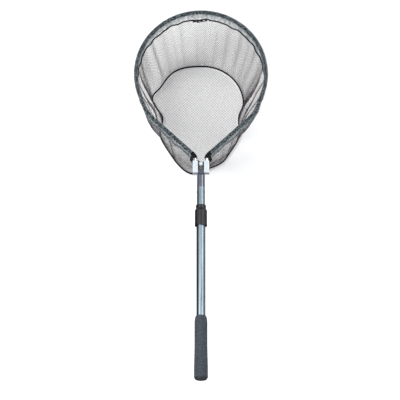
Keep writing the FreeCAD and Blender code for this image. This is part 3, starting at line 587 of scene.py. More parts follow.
def zigzags(surface: np.ndarray, normals: np.ndarray, closed: bool, chosen: range) -> tuple:
    """The zigzag twines of knotless netting over a cloth's grid of half meshes.

    Args:
        surface: points, rows down the cloth and columns across it, two columns a mesh.
        normals: the cloth's normal at each.
        closed: whether the columns run all the way round.
        chosen: which meshes across to make.

    Returns:
        Lines and their normals, for twines().
    """
    rows, columns = surface.shape[:2]
    step = np.arange(rows) % 2
    lines, upright = [], []
    for k in chosen:
        for way in (1, -1):
            column = 2 * k + way * step
            if closed:
                column = column % columns
            elif column.min() < 0 or column.max() >= columns:
                continue
            lines.append(surface[np.arange(rows), column])
            upright.append(normals[np.arange(rows), column])
    return lines, upright


def grid_normals(surface: np.ndarray, closed: bool) -> np.ndarray:
    """Normals of a grid of points; closed if its columns run all the way round."""
    if closed:
        across = np.roll(surface, -1, 1) - np.roll(surface, 1, 1)
    else:
        across = np.gradient(surface, axis=1)
    return unit(np.cross(across, np.gradient(surface, axis=0)))


def from_box(node: str) -> tuple[np.ndarray, np.ndarray]:
    """Lowest and highest corner of a CAD node in millimetres."""
    low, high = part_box(node)
    return np.array(low) / MM, np.array(high) / MM


def half_height(node: str) -> float:
    """Half the height of a CAD node in millimetres, which is a level tube's radius."""
    low, high = from_box(node)
    return (high[2] - low[2]) / 2


def middle_height(node: str) -> float:
    """The height of the middle of a CAD node in millimetres."""
    low, high = from_box(node)
    return (low[2] + high[2]) / 2


def thread_turn(
    centre: np.ndarray, wide: np.ndarray, tall: np.ndarray, along: np.ndarray, thread: float
) -> np.ndarray:
    """One closed turn of thread round a cord.

    Args:
        centre: the middle of the turn.
        wide: half its width, as a vector.
        tall: half its height, as a vector.
        along: the cord's direction.
        thread: the thread's radius.

    Returns:
        Its points, ring by ring.
    """
    points = []
    for a in np.linspace(0, 2 * math.pi, TURN_POINTS, endpoint=False):
        out = math.cos(a) * wide + math.sin(a) * tall
        away = out / np.linalg.norm(out)
        for b in np.linspace(0, 2 * math.pi, THREAD_POINTS, endpoint=False):
            points.append(centre + out + thread * (math.cos(b) * away + math.sin(b) * along))
    return np.array(points)


def join_turns(turns: list[np.ndarray]) -> tuple[np.ndarray, np.ndarray]:
    """Points and faces of several closed turns of thread.

    Args:
        turns: the points of each, from thread_turn().

    Returns:
        Points and faces of them all.
    """
    each = grid_faces(TURN_POINTS, THREAD_POINTS, True, True)
    faces = [each + n * TURN_POINTS * THREAD_POINTS for n in range(len(turns))]
    return np.concatenate(turns), np.concatenate(faces)


# ----------------------------------------------------------------------------------- outlines


@dataclass(frozen=True)
class Outline:
    """A net-shaped loop: far arc, straight sides, bends, sloping arms and a rounded nose."""

    centre_y: float
    radius: float
    side_angle: float
    bulge: float
    arm_angle: float
    corner_radius: float
    nose_radius: float

    def half(self, inset: float) -> np.ndarray:
        """The right half, from the nose in front to the far end.

        Args:
            inset: how far inside the loop it runs.

        Returns:
            Close points in the plane.
        """
        arm, side = math.radians(self.arm_angle), math.radians(self.side_angle)
        up = np.array([math.cos(arm), math.sin(arm)])
        foot = np.array([0, self.centre_y - (self.radius + self.bulge - inset) / math.cos(arm)])
        reach = self.radius - inset
        start = np.array([reach * math.cos(side), self.centre_y - reach * math.sin(side)])
        down = np.array([-math.sin(side), -math.cos(side)])
        cross = down[0] * up[1] - down[1] * up[0]
        gap = foot - start
        meet = start + down * ((gap[0] * up[1] - gap[1] * up[0]) / cross)
        turn = math.acos(float(-up @ down))
        bend = self.corner_radius - inset
        before = meet - down * bend * math.tan(turn / 2)
        after = meet - up * bend * math.tan(turn / 2)
        nose = self.nose_radius - inset
        tangent = foot + up * nose * math.tan(arm)
        nose_centre = np.array([0, foot[1] + nose / math.cos(arm)])
        bend_centre = before + bend * np.array([down[1], -down[0]])
        return np.concatenate(
            [
                self.arc(nose_centre, np.array([0, nose_centre[1] - nose]), tangent),
                np.linspace(tangent, after, ARM_POINTS),
                self.arc(bend_centre, after, before),
                np.linspace(before, start, SIDE_POINTS),
                self.arc(
                    np.array([0, self.centre_y]), start, np.array([0, self.centre_y + reach])
                ),
            ]
        )

    def arc(self, centre: np.ndarray, first: np.ndarray, last: np.ndarray) -> np.ndarray:
        """Points on a left-turning arc.

        Args:
            centre: its centre.
            first: where it starts.
            last: where it ends.

        Returns:
            Close points, ends included.
        """
        begin = math.atan2(*(first - centre)[::-1])
        end = math.atan2(*(last - centre)[::-1])
        if end < begin:
            end += 2 * math.pi
        angle = np.linspace(begin, end, ARC_POINTS)
        reach = np.linalg.norm(first - centre)
        return centre + reach * np.stack([np.cos(angle), np.sin(angle)], 1)

    def loop(self, count: int, inset: float, z: float) -> np.ndarray:
        """The closed loop, nose first and then the right side.

        Args:
            count: how many points, an even number.
            inset: how far inside the outline it runs.
            z: its height.

        Returns:
            Evenly spaced points.
        """
        half = resample(self.half(inset), count // 2 + 1)
        flat = np.concatenate([half, half[-2:0:-1] * [-1, 1]])
        return np.column_stack([flat, np.full(len(flat), z)])

    def open_path(self, count: int, start: float) -> np.ndarray:
        """The path from the right arm over the far end to the left arm.

        Args:
            count: how many points.
            start: where it begins and ends, along the loop from the nose.

        Returns:
            Evenly spaced points at a height of zero.
        """
        half = resample(self.half(0.0), CUT_POINTS)
        steps = np.concatenate([[0], np.cumsum(np.linalg.norm(np.diff(half, axis=0), axis=1))])
        half = half[steps >= start]
        flat = np.concatenate([half, half[-2::-1] * [-1, 1]])
        return resample(np.column_stack([flat, np.zeros(len(flat))]), count)


def smooth_table(places: np.ndarray, table: list[tuple[float, float]]) -> np.ndarray:
    """A smooth closed curve through a table of (share of the loop, value).

    Args:
        places: shares of the loop, from 0 to 1.
        table: the values at some shares.

    Returns:
        The value at each place.
    """
    x = np.array([t[0] for t in table])
    y = np.array([t[1] for t in table])
    x = np.concatenate([x - 1, x, x + 1])
    y = np.tile(y, 3)
    k = np.clip(np.searchsorted(x, places) - 1, 1, len(x) - 3)
    t = (places - x[k]) / (x[k + 1] - x[k])
    slope_a = (y[k + 1] - y[k - 1]) / (x[k + 1] - x[k - 1]) * (x[k + 1] - x[k])
    slope_b = (y[k + 2] - y[k]) / (x[k + 2] - x[k]) * (x[k + 1] - x[k])
    t2, t3 = t * t, t * t * t
    return (
        (2 * t3 - 3 * t2 + 1) * y[k]
        + (t3 - 2 * t2 + t) * slope_a
        + (-2 * t3 + 3 * t2) * y[k + 1]
        + (t3 - t2) * slope_b
    )


def ripples(turn: np.ndarray, waves: tuple[tuple[float, float, float], ...]) -> np.ndarray:
    """Several waves round a loop, added up.

    Args:
        turn: angles round the loop.
        waves: each one's height, how often it comes round the loop, and its phase.

    Returns:
        Their sum at each angle.
    """
    total = np.zeros(len(turn))
    for height, count, phase in waves:
        total = total + height * np.sin(turn * count + phase)
    return total


def dress(surfaces: dict[str, Surface]) -> None:
    """Gives CAD nodes their finishes.

    Args:
        surfaces: the finish of each node.
    """
    for node, surface in surfaces.items():
        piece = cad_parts[node]
        if not piece.material_slots:
            piece.data.materials.append(material_of(surface))
        for place in piece.material_slots:
            place.material = material_of(surface)
        log.info("%s: %s", node, surface.value.name)


def ride(piece: bpy.types.Object, body: str, slot: str, *stands_for: str) -> bpy.types.Object:
    """Puts a finished piece on its body.

    Args:
        piece: the piece.
        body: the CAD body it moves with.
        slot: the record's material slot.
        *stands_for: the CAD nodes that it replaces.

    Returns:
        The piece.
    """
    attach(piece, body)
    if stands_for:
        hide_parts(*stands_for)
    log.info("%s: %d faces on %s", piece.name, len(piece.data.polygons), body)
    return piece


# gives how far inside an edge each spot is
Depths = Callable[[np.ndarray], np.ndarray]


def net_piece(name: str, shape: tuple, surface: Surface, slot: str, *stands_for: str) -> None:
    """Makes a piece of the net and puts it on the folding head.

    Args:
        name: the piece's name.
        shape: its points and faces.
        surface: its finish.
        slot: the record's material slot.
        *stands_for: the CAD nodes that it replaces.
    """
    ride(make_piece(name, *shape, surface), "net_head", slot, *stands_for)


# ------------------------------------------------------------------------------------- handle


@dataclass
class Handle:
    """Lower tube, foam grip, butt and twist collar."""

    grip_start: float = 3.0
    butt_radius: float = 20.9
    butt_end: float = 28.0
    waist_radius: float = 19.4
    waist_start: float = 108.0
    shoulder_start: float = 172.0
    mouth_radius: float = 15.3
    bore_radius: float = 13.55
    end_round: float = 3.4
    taper_run: float = 12.0
    taper_fall: float = 0.12
    # the shoulder follows a quarter circle out to shoulder_bend of its radius, where it has
    # fallen by about shoulder_depth of it
    shoulder_bend: float = 0.985
    shoulder_depth: float = 0.83
    rings: int = 330
    sides: int = 120
    skin_relief: float = 0.32

    def build(self) -> None:
        """Builds the grip and dresses the rest."""
        self.build_grip()
        dress(
            {
                "outer_tube": Surface.ANODISED_TUBE,
                "butt_cap": Surface.RUBBER,
                "collet_body": Surface.BLACK_TRIM,
                "clamp_ring": Surface.ACETAL,
                "collar_seal": Surface.RUBBER,
                "lock_collar": Surface.COLLAR_NYLON,
            }
        )

    def profile(self, end: float) -> np.ndarray:
        """The grip's side from its butt end to its upper mouth.

        Args:
            end: where the grip ends.

        Returns:
            Rows of place along the handle and radius.
        """
        turn = np.linspace(0, math.pi / 2, 10)
        butt = np.column_stack(
            [
                self.grip_start + self.end_round * (1 - np.cos(turn)),
                self.butt_radius - self.end_round * (1 - np.sin(turn)),
            ]
        )
        side = [
            (self.butt_end, self.butt_radius),
            (self.butt_end + self.taper_run, self.butt_radius - self.taper_fall),
            (self.waist_start - self.taper_run, self.waist_radius + self.taper_fall),
            (self.waist_start, self.waist_radius),
            (self.shoulder_start, self.waist_radius),
        ]
        run = np.linspace(0, 1, 24)[1:]
        length = end - self.shoulder_start
        fall = self.waist_radius - self.mouth_radius
        round_off = 1 - np.sqrt(1 - (self.shoulder_bend * run) ** 2)
        shoulder = np.column_stack(
            [
                self.shoulder_start + length * run,
                self.waist_radius - fall * round_off / self.shoulder_depth,
            ]
        )
        return resample(np.concatenate([butt, np.array(side), shoulder]), self.rings)

    def build_grip(self) -> None:
        """The foam grip, turned to its outline with an uneven skin."""
        _, high = from_box("foam_grip")
        line = self.profile(high[1])
        inner = np.array([[high[1], self.bore_radius], [self.grip_start, self.bore_radius]])
        draw = np.random.default_rng(7)
        skin = draw.normal(size=(self.rings, self.sides))
        for _ in range(2):
            skin = (skin + np.roll(skin, 1, 1) + np.roll(skin, -1, 1)) / 3
            skin = (skin + np.roll(skin, 1, 0) + np.roll(skin, -1, 0)) / 3
        radii = line[:, 1][:, None] - self.skin_relief * np.abs(skin)
        radii = np.vstack([radii, np.repeat(inner[:, 1][:, None], self.sides, 1)])
        place = np.concatenate([line[:, 0], inner[:, 0]])
        angle = np.linspace(0, 2 * math.pi, self.sides, endpoint=False)
        points = np.stack(
            [
                radii * np.cos(angle),
                np.repeat(place[:, None], self.sides, 1),
                radii * np.sin(angle),
            ],
            2,
        )
        faces = grid_faces(len(place), self.sides, True, True)
        grip = make_piece("grip_foam_sleeve", points, faces, Surface.FOAM)
        ride(grip, "handle", "grip_foam", "foam_grip")


@dataclass
class UpperPole:
    """Inner tube, hinge head and lock button."""

    button_travel: float = 2.5
    finishes: dict[str, Surface] = field(
        default_factory=lambda: {
            "inner_tube": Surface.ANODISED_TUBE,
            "guide_bush": Surface.ACETAL,
            "hinge_head": Surface.SLATE_ENAMEL,
            "head_cap": Surface.BLACK_TRIM,
            "head_rivets": Surface.DRAWN_HOOP,
            "lock_button": Surface.NICKEL,
            "button_insert": Surface.BLACK_TRIM,
            "lock_plunger": Surface.STAINLESS,
            "button_spring": Surface.STAINLESS,
        }
    )

    def build(self) -> None:
        """Dresses the pole and the button, and gives the button's spring a mesh of its own."""
        dress(self.finishes)
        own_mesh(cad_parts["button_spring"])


@dataclass
class Yoke:
    """The folding fork that holds the hoop."""

    finishes: dict[str, Surface] = field(
        default_factory=lambda: {
            "yoke_crossbar": Surface.SILVER_ENAMEL,
            "yoke_block_left": Surface.SILVER_ENAMEL,
            "yoke_block_right": Surface.SILVER_ENAMEL,
            "yoke_stop": Surface.SLATE_ENAMEL,
            "yoke_screws": Surface.ZINC,
            "hinge_pin": Surface.STAINLESS,
            "pin_clip": Surface.STAINLESS,
            "hinge_washers": Surface.BLACK_TRIM,
            "hoop_tube": Surface.DRAWN_HOOP,
            "hoop_screws": Surface.ZINC,
        }
    )

    def build(self) -> None:
        """Dresses the yoke and the hoop tube."""
        dress(self.finishes)


# --------------------------------------------------------------------------- hoop and netting


def hoop_outline() -> Outline:
    """The hoop's middle line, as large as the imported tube."""
    _, high = from_box("hoop_tube")
    tube = half_height("hoop_tube")
    radius = high[0] - tube
    return Outline(
        centre_y=high[1] - tube - radius, radius=radius, side_angle=20.0, bulge=6.7,
        arm_angle=ARM_ANGLE, corner_radius=90.0, nose_radius=34.0,
    )


def base_outline() -> Outline:
    """The base panel's edge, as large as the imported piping."""
    _, high = from_box("base_piping")
    return Outline(
        centre_y=high[1] - high[0], radius=high[0] - half_height("base_piping") + PIPING_INSET,
        side_angle=12.0, bulge=12.9, arm_angle=61.0, corner_radius=120.0, nose_radius=91.0,
    )


@dataclass
class Sleeve:
    """The mesh sleeve that carries the net on the hoop, and its black end patches."""

    start: float = 31.7
    cloth_radius: float = 5.55
    gather: float = 0.35
    rings: int = 900
    sides: int = 16
    mesh_radius: float = 6.1
    meshes_round: int = 7
    mesh_length: float = 6.4
    twine_radius: float = 0.5
    angle_scatter: float = 0.07
    reach_scatter: float = 0.12
    patch_rows: int = 22
    patch_near: float = -14.0
    patch_length: float = 21.0
    patch_radius: float = 6.35
    patch_ripple: float = 0.25
    patch_half_gap: float = 0.75
    patch_drop: float = 50.0
    patch_curl: float = 3.0
    patch_wave: float = 0.8
    patch_lean: float = 9.0
    lean_power: float = 1.3
    neck_straight: float = 10.0
    neck_radius: float = 18.0

    def build(self) -> None:
        """Builds cloth, outer mesh and patches."""
        outline = hoop_outline()
        self.build_cloth(outline)
        self.build_mesh(outline)
        for side in (1, -1):
            self.build_patch(side)

    def build_cloth(self, outline: Outline) -> None:
        """The doubled mesh under the outer twines, gathered in small waves.

        Args:
            outline: the hoop's middle line.
        """
        path = outline.open_path(self.rings, self.start)
        draw = np.random.default_rng(11)
        waves = draw.normal(size=(self.rings, self.sides))
        for _ in range(3):
            waves = (waves + np.roll(waves, 1, 0) + np.roll(waves, 1, 1)) / 2
        radii = self.cloth_radius + self.gather * np.clip(waves, -1, 1.4)
        cloth = round_bar(path, radii, False)
        net_piece("sleeve_cloth", cloth, Surface.SLEEVE_CLOTH, "sleeve_mesh", "net_sleeve")

    def build_mesh(self, outline: Outline) -> None:
        """The sleeve's outer twines, a diamond mesh wrapped round the hoop.

        Args:
            outline: the hoop's middle line.
        """
        path = outline.open_path(MEASURE_POINTS, self.start)
        length = np.linalg.norm(np.diff(path, axis=0), axis=1).sum()
        rows = 2 * int(length / self.mesh_length) + 1
        path = outline.open_path(rows, self.start)
        columns = 2 * self.meshes_round
        _, side, top = path_frame(path, False)
        draw = np.random.default_rng(13)
        angle = np.linspace(0, 2 * math.pi, columns, endpoint=False)[None, :]
        angle = angle + draw.normal(scale=self.angle_scatter, size=(rows, columns))
        normal = ring_directions(angle, side, top)
        scatter = draw.normal(scale=self.reach_scatter, size=(rows, columns, 1))
        surface = path[:, None] + (self.mesh_radius + scatter) * normal
        lines = zigzags(surface, normal, True, range(self.meshes_round))
        mesh = twines(*lines, self.twine_radius)
        net_piece("sleeve_twine", mesh, Surface.SLEEVE_TWINE, "sleeve_mesh")

    def build_patch(self, side: int) -> None:
        """A black patch folded over the hoop's arm and sewn below it.

        Args:
            side: 1 for the right arm, -1 for the left.
        """
        turn = np.linspace(-0.42 * math.pi, 1.42 * math.pi, 30)
        circle = np.column_stack([np.cos(turn), np.sin(turn)])
        fall = np.linspace(0, 1, 12)[1:]
        sections = []
        for share in np.linspace(0, 1, self.patch_rows):
            over = circle * (self.patch_radius + self.patch_ripple * math.sin(share * 9.0))
            curl = self.patch_curl * (2 * share - 1) ** 2
            drop = -self.patch_drop + curl + self.patch_wave * math.sin(share * 7)
            sway = self.patch_wave * math.sin(share * 5.0)
            lean = (self.patch_lean + sway) * fall**self.lean_power

            def hanging(top: np.ndarray, foot: float) -> np.ndarray:
                """One half of the patch, from where it leaves the arm down to its hem."""
                across = top[0] + (foot - top[0]) * np.sqrt(fall) + lean
                return np.column_stack([across, top[1] + (drop - top[1]) * fall])

            left = hanging(over[-1], -self.patch_half_gap)
            right = hanging(over[0], self.patch_half_gap)[::-1]
            outer = np.concatenate([over, left, right])
            base, out = self.arm_point(self.patch_near + self.patch_length * share)
            sections.append(base + outer[:, :1] * out + outer[:, 1:] * UP)
        grid = np.array(sections)
        rows, columns = grid.shape[:2]
        faces = grid_faces(rows, columns, False, True).tolist()
        faces += [f[::-1] for f in end_faces(rows, columns)]
        if side < 0:
            faces = [f[::-1] for f in faces]
        hand = "right" if side > 0 else "left"
        patch = (grid.reshape(-1, 3) * [side, 1, 1], faces)
        node = f"sleeve_patch_{hand}"
        net_piece(f"patch_cloth_{hand}", patch, Surface.PATCH_CLOTH, "patch_fabric", node)

    def arm_point(self, run: float) -> tuple[np.ndarray, np.ndarray]:
        """A point of the right arm's middle line and the level direction out of the loop there.

        Args:
            run: distance along the arm from the neck bend, negative on the bend itself.

        Returns:
            The point and the unit direction.
        """
        arm = math.radians(ARM_ANGLE)
        out = np.array([math.sin(arm), -math.cos(arm), 0.0])
        low, high = from_box("yoke_block_right")
        socket = np.array([(low[0] + high[0]) / 2, high[1] + self.neck_straight, 0.0])
        end = socket + self.neck_radius * (np.array([1.0, 0.0, 0.0]) - out)
        if run >= 0:
            return end + np.array([math.cos(arm), math.sin(arm), 0.0]) * run, out
        turned = arm - run / self.neck_radius
        centre = end + out * self.neck_radius
        out = np.array([math.sin(turned), -math.cos(turned), 0.0])
        return centre - out * self.neck_radius, out


@dataclass
class Pleat:
    """One fold that runs down the netting."""

    place: float
    width: float
    depth: float
    lean: float
    bunch: float


@dataclass
class Bag:
    """Netting skirt, wall and base, with the seam cord and the base piping."""

    meshes_round: int = 208
    skirt_meshes: int = 150
    skirt_rows: int = 12
    skirt_twine: float = 0.4
    skirt_end: float = 0.024
    skirt_wave: float = 0.9
    skirt_belly: float = 1.5
    skirt_scatter: float = 0.2
    wall_rows: int = 46
    wall_twine: float = 0.6
    wall_scatter: float = 0.22
    # how much finer the wall's edges are than its netting
    edge_steps: int = 4
    # the wall swells out between its edges, and its rows stand closer in the middle
    swell_reach: float = 1.02
    swell_power: float = 0.8
    row_bunching: float = 0.03
    # shares of a fold's bunching and depth that are left at the wall's edges
    edge_bunch: float = 0.25
    edge_depth: float = 0.15
    front_twine: float = 0.32
    front_share: float = 0.17
    base_twine: float = 0.34
    base_points: int = 1440
    base_inset: float = 1.0
    mouth_z: float = -5.5
    mouth_inset: float = 1.2
    seam_inset: float = 0.5
    cord_inset: float = 4.2
    cord_rings: int = 1040
    cord_pitch: float = 5.0
    stitch_lift: float = 0.15
    stitch_gap: float = 8.0
    stitch_lean: float = 0.4
    stitch_thread: float = 0.35
    piping_rings: int = 800
    piping_pitch: float = 6.0
    joint_span: tuple[float, float] = (0.486, 0.52)
    joint_gap: float = 3.0
    joint_drop: float = 3.0
    joint_wave: float = 5.0
    joint_radius: float = 1.5
    joint_sides: int = 10
    whipping_places: tuple[float, ...] = (0.06, 0.36, 0.64, 0.93)
    whipping_turns: int = 5
    whipping_pitch: float = 0.9
    whipping_margin: float = 2.2
    whipping_half: float = 2.5
    whipping_thread: float = 0.5
    base_mesh: float = 8.4
    base_sag: float = 2.2
    sag_reach: float = 60.0
    sag_ripple: float = 1.6
    light_folds: int = 34
    light_shift: float = 0.008
    light_depth: tuple[float, float] = (1.5, 4.5)
    light_width: tuple[float, float] = (0.006, 0.011)
    light_bunch: float = 0.25
    deep_width: float = 0.008
    deep_bunch: float = 0.62
    # share of the loop, depth and lean of each deep fold
    deep_folds: tuple[tuple[float, float, float], ...] = (
        (0.235, 10.0, -0.07), (0.262, 12.0, -0.08), (0.295, 9.0, -0.07),
        (0.765, 10.0, 0.07), (0.738, 13.0, 0.08), (0.705, 9.0, 0.07),
        (0.10, 8.0, 0.01), (0.135, 7.0, 0.02), (0.90, 9.0, -0.01), (0.865, 7.0, -0.02),
    )
    # height, number round the loop and phase of the small waves of the seam and of the piping
    seam_wander: tuple[tuple[float, float, float], ...] = ((1.1, 23, 0), (0.8, 37, 1), (0.7, 11, 0))
    seam_ripple: tuple[tuple[float, float, float], ...] = ((1.1, 17, 2),)
    piping_ripple: tuple[tuple[float, float, float], ...] = ((1.6, 5, 0.6), (1.2, 9, 0))
    # how far the piping bulges out (or in) and the seam hangs lower, by share of the loop
    piping_waves: tuple[tuple[float, float], ...] = (
        (0.0, -3.0), (0.035, -11.0), (0.1, -4.0), (0.18, -1.0), (0.25, -16.0), (0.3, -4.0),
        (0.4, 1.0), (0.5, 0.0), (0.58, 7.0), (0.65, 5.0), (0.69, 16.0), (0.75, -14.0),
        (0.81, 5.0), (0.92, 2.0), (0.97, 5.0),
    )
    wall_bulge: tuple[tuple[float, float], ...] = (
        (0.0, 4.0), (0.08, 8.0), (0.14, 4.0), (0.19, -2.0), (0.25, 0.0), (0.33, 5.0),
        (0.5, 4.0), (0.67, 5.0), (0.75, 2.0), (0.81, 1.0), (0.87, 6.0), (0.93, 5.0),
    )
    seam_sag: tuple[tuple[float, float], ...] = (
        (0.0, 4.0), (0.06, 10.0), (0.13, 14.0), (0.2, 9.0), (0.3, 2.0), (0.5, 0.0),
        (0.7, 2.0), (0.8, 9.0), (0.87, 14.0), (0.94, 10.0),
    )

    def build(self) -> None:
        """Builds the netting and its cords."""
        self.seam_z, self.base_z = middle_height("seam_cord"), middle_height("base_piping")
        self.hoop, self.base = hoop_outline(), base_outline()
        self.pleats = self.drape()
        self.build_skirt()
        self.build_wall()
        self.build_base()
        self.build_seam_cord()
        self.build_cord_joint()
        self.build_piping()

    def drape(self) -> list[Pleat]:
        """Folds of the hanging wall: deep ones at both sides, light ones elsewhere."""
        draw = np.random.default_rng(3)
        folds = []
        for k in range(self.light_folds):
            shift = draw.uniform(-self.light_shift, self.light_shift)
            depth = draw.uniform(*self.light_depth)
            width = draw.uniform(*self.light_width)
            place = (k + 0.5) / self.light_folds + shift
            folds.append(Pleat(place, width, depth, 0.0, self.light_bunch))
        for place, depth, lean in self.deep_folds:
            folds.append(Pleat(place, self.deep_width, depth, lean, self.deep_bunch))
        return folds

    def base_edge(self, count: int, inset: float) -> np.ndarray:
        """The base panel's edge as it hangs, with the waves of its piping.

        Args:
            count: how many points.
            inset: how far inside the edge.

        Returns:
            Closed loop of points.
        """
        loop = self.base.loop(count, inset, self.base_z)
        out = self.outward(loop)
        share = np.arange(count) / count
        loop = loop + out * smooth_table(share, self.piping_waves)[:, None]
        loop[:, 2] += ripples(share * 2 * math.pi, self.piping_ripple)
        return loop

    def seam_edge(self, count: int, inset: float) -> np.ndarray:
        """The mouth's seam as it hangs, lower along the arms and a little wavy.

        Args:
            count: how many points.
            inset: how far inside the hoop's line.

        Returns:
            Closed loop of points.
        """
        loop = self.hoop.loop(count, inset, self.seam_z)
        share = np.arange(count) / count
        turn = share * 2 * math.pi
        loop = loop + self.outward(loop) * ripples(turn, self.seam_wander)[:, None]
        loop[:, 2] += ripples(turn, self.seam_ripple) - smooth_table(share, self.seam_sag)
        return loop

    def outward(self, loop: np.ndarray) -> np.ndarray:
        """Outward normals of a closed level loop."""
        return path_frame(loop, True)[1]

    def wall_surface(self) -> np.ndarray:
        """The wall's grid of half meshes, from the seam down to the piping.

        Returns:
            Points by row and column.
        """
        columns = 2 * self.meshes_round
        fine = self.edge_steps * columns
        top = self.seam_edge(fine, self.seam_inset)
        bottom = self.base_edge(fine, 0.0)
        out_top, out_bottom = self.outward(top), self.outward(bottom)
        share = np.arange(columns) / columns
        bulge = smooth_table(share, self.wall_bulge)
        rows = []
        for t in np.linspace(0, 1, self.wall_rows + 1):
            swell = math.sin(math.pi * min(1.0, t * self.swell_reach)) ** self.swell_power
            bunching = self.edge_bunch + (1 - self.edge_bunch) * swell
            deepening = self.edge_depth + (1 - self.edge_depth) * swell
            place = share.copy()
            push = np.zeros(columns)
            for fold in self.pleats:
                x = share - fold.place - fold.lean * t
                x = (x + 0.5) % 1.0 - 0.5
                bell = np.exp(-((x / fold.width) ** 2) / 2)
                place -= fold.bunch * x * bell * bunching
                push -= fold.depth * bell * deepening
            index = (place % 1.0) * fine
            low = np.floor(index).astype(int) % fine
            rest = (index - np.floor(index))[:, None]
            high = (low + 1) % fine
            upper = top[low] * (1 - rest) + top[high] * rest
            lower = bottom[low] * (1 - rest) + bottom[high] * rest
            out = unit(out_top[low] * (1 - t) + out_bottom[low] * t)
            fall = t + self.row_bunching * math.sin(2 * math.pi * t)
            row = upper * (1 - t) + lower * t + out * (push + bulge * swell)[:, None]
            row[:, 2] = upper[:, 2] * (1 - fall) + lower[:, 2] * fall
            rows.append(row)
        return np.array(rows)

    def build_wall(self) -> None:
        """The wall's netting: two side panels, and two front ones knotted from a finer twine."""
        surface = self.wall_surface()
        draw = np.random.default_rng(5)
        surface[1:-1] += draw.normal(scale=self.wall_scatter, size=surface[1:-1].shape)
        normals = grid_normals(surface, True)
        whole, front = self.meshes_round, round(self.front_share * self.meshes_round)
        for name, chosen, radius in (
            ("wall_net_front_right", range(front), self.front_twine),
            ("wall_net_right", range(front, whole // 2), self.wall_twine),
            ("wall_net_left", range(whole // 2, whole - front), self.wall_twine),
            ("wall_net_front_left", range(whole - front, whole), self.front_twine),
        ):
            wall = twines(*zigzags(surface, normals, True, chosen), radius)
            net_piece(name, wall, Surface.NET_TWINE, "net_mesh", "net_wall")

    def build_skirt(self) -> None:
        """The doubled netting between the hoop's sleeve and the seam cord."""
        columns = 2 * self.skirt_meshes
        first = round(self.skirt_end * self.skirt_meshes)
        draw = np.random.default_rng(9)
        for name, layer in (("skirt_net_outer", 0.0), ("skirt_net_inner", 1.0)):
            top = self.hoop.loop(columns, self.mouth_inset + layer, self.mouth_z)
            bottom = self.seam_edge(columns, self.seam_inset + 2 * layer)
            out = self.outward(top)
            turn = np.arange(columns) / columns * 2 * math.pi
            wave = ripples(turn, ((1.0, 46, layer * 2), (1.0, 71, 1 + layer)))
            rows = []
            for t in np.linspace(0, 1, self.skirt_rows + 1):
                belly = math.sin(math.pi * t)
                push = self.skirt_wave * belly * wave + self.skirt_belly * belly
                rows.append(top * (1 - t) + bottom * t + out * push[:, None])
            surface = np.roll(np.array(rows), int(layer), 1)
            surface[1:-1] += draw.normal(scale=self.skirt_scatter, size=surface[1:-1].shape)
            normals = grid_normals(surface, True)
            chosen = range(first, self.skirt_meshes - first + 1)
            skirt = twines(*zigzags(surface, normals, True, chosen), self.skirt_twine)
            # the skirt's twine takes the sleeve twine's finish, painted sky reflection and all
            net_piece(name, skirt, Surface.SLEEVE_TWINE, "net_mesh", "net_wall")

    def build_base(self) -> None:
        """The flat base panel, a diamond mesh cut to the piping's loop."""
        edge = self.base_edge(self.base_points, self.base_inset)
        middle = np.array([0.0, self.base.centre_y])
        flat = edge[:, :2] - middle
        turn = np.arctan2(flat[:, 1], flat[:, 0])
        order = np.argsort(turn)
        turn, reach = turn[order], np.linalg.norm(flat, axis=1)[order]
        turn = np.concatenate([turn - 2 * math.pi, turn, turn + 2 * math.pi])
        reach = np.tile(reach, 3)

        def inside(spots: np.ndarray) -> np.ndarray:
            """How far inside the edge each spot is, below zero outside it."""
            angle = np.arctan2(spots[:, 1] - middle[1], spots[:, 0] - middle[0])
            return np.interp(angle, turn, reach) - np.linalg.norm(spots - middle, axis=1)

        low, high = edge.min(0), edge.max(0)
        half = self.base_mesh / 2
        ys = np.arange(low[1] - half, high[1] + 2 * half, half)
        step = np.arange(len(ys)) % 2
        lines, upright = [], []
        for k in range(int((high[0] - low[0]) / self.base_mesh) + 2):
            for way in (1, -1):
                xs = low[0] + self.base_mesh * k + way * step * half
                spots = np.column_stack([xs, ys])
                kept = np.flatnonzero(inside(spots) > 0)
                if len(kept) < 2:
                    continue
                first, last = kept[0], kept[-1]
                run = [self.crossing(spots[first], spots[first - 1], inside)]
                run += list(spots[first : last + 1])
                run.append(self.crossing(spots[last], spots[min(last + 1, len(ys) - 1)], inside))
                run = np.array(run)
                lines.append(np.column_stack([run, self.base_heights(run, inside)]))
                upright.append(np.tile(UP, (len(run), 1)))
        base = twines(lines, upright, self.base_twine)
        net_piece("base_net", base, Surface.NET_TWINE, "net_mesh", "net_base")

    def crossing(self, near: np.ndarray, far: np.ndarray, inside: Depths) -> np.ndarray:
        """Where a twine meets the edge.

        Args:
            near: a spot inside the edge.
            far: the next spot outside it.
            inside: gives how far inside each spot is.

        Returns:
            The spot on the edge between them.
        """
        low, high = 0.0, 1.0
        for _ in range(12):
            share = (low + high) / 2
            if inside((near + (far - near) * share)[None])[0] > 0:
                low = share
            else:
                high = share
        return near + (far - near) * low

    def base_heights(self, run: np.ndarray, inside: Depths) -> np.ndarray:
        """Heights of the base panel, which sags a little and ripples.

        Args:
            run: spots on it.
            inside: gives how far inside each spot is.

        Returns:
            A height for each spot.
        """
        depth = np.clip(inside(run) / self.sag_reach, 0, 1)
        ripple = np.sin(run[:, 0] / 23 + 0.7) * np.sin(run[:, 1] / 31)
        return self.base_z - depth * (self.base_sag - self.sag_ripple * ripple)

    def build_seam_cord(self) -> None:
        """The black cord sewn round the mouth's seam, with its braid and its stitches."""
        loop = self.seam_edge(self.cord_rings, self.cord_inset)
        radius = half_height("seam_cord")
        cord = self.braid(loop, radius, self.cord_pitch)
        net_piece("seam_braid", cord, Surface.CORD, "black_cord", "seam_cord")
        net_piece(
            "seam_stitches", self.stitches(loop, radius + self.stitch_lift), Surface.THREAD,
            "black_cord",
        )

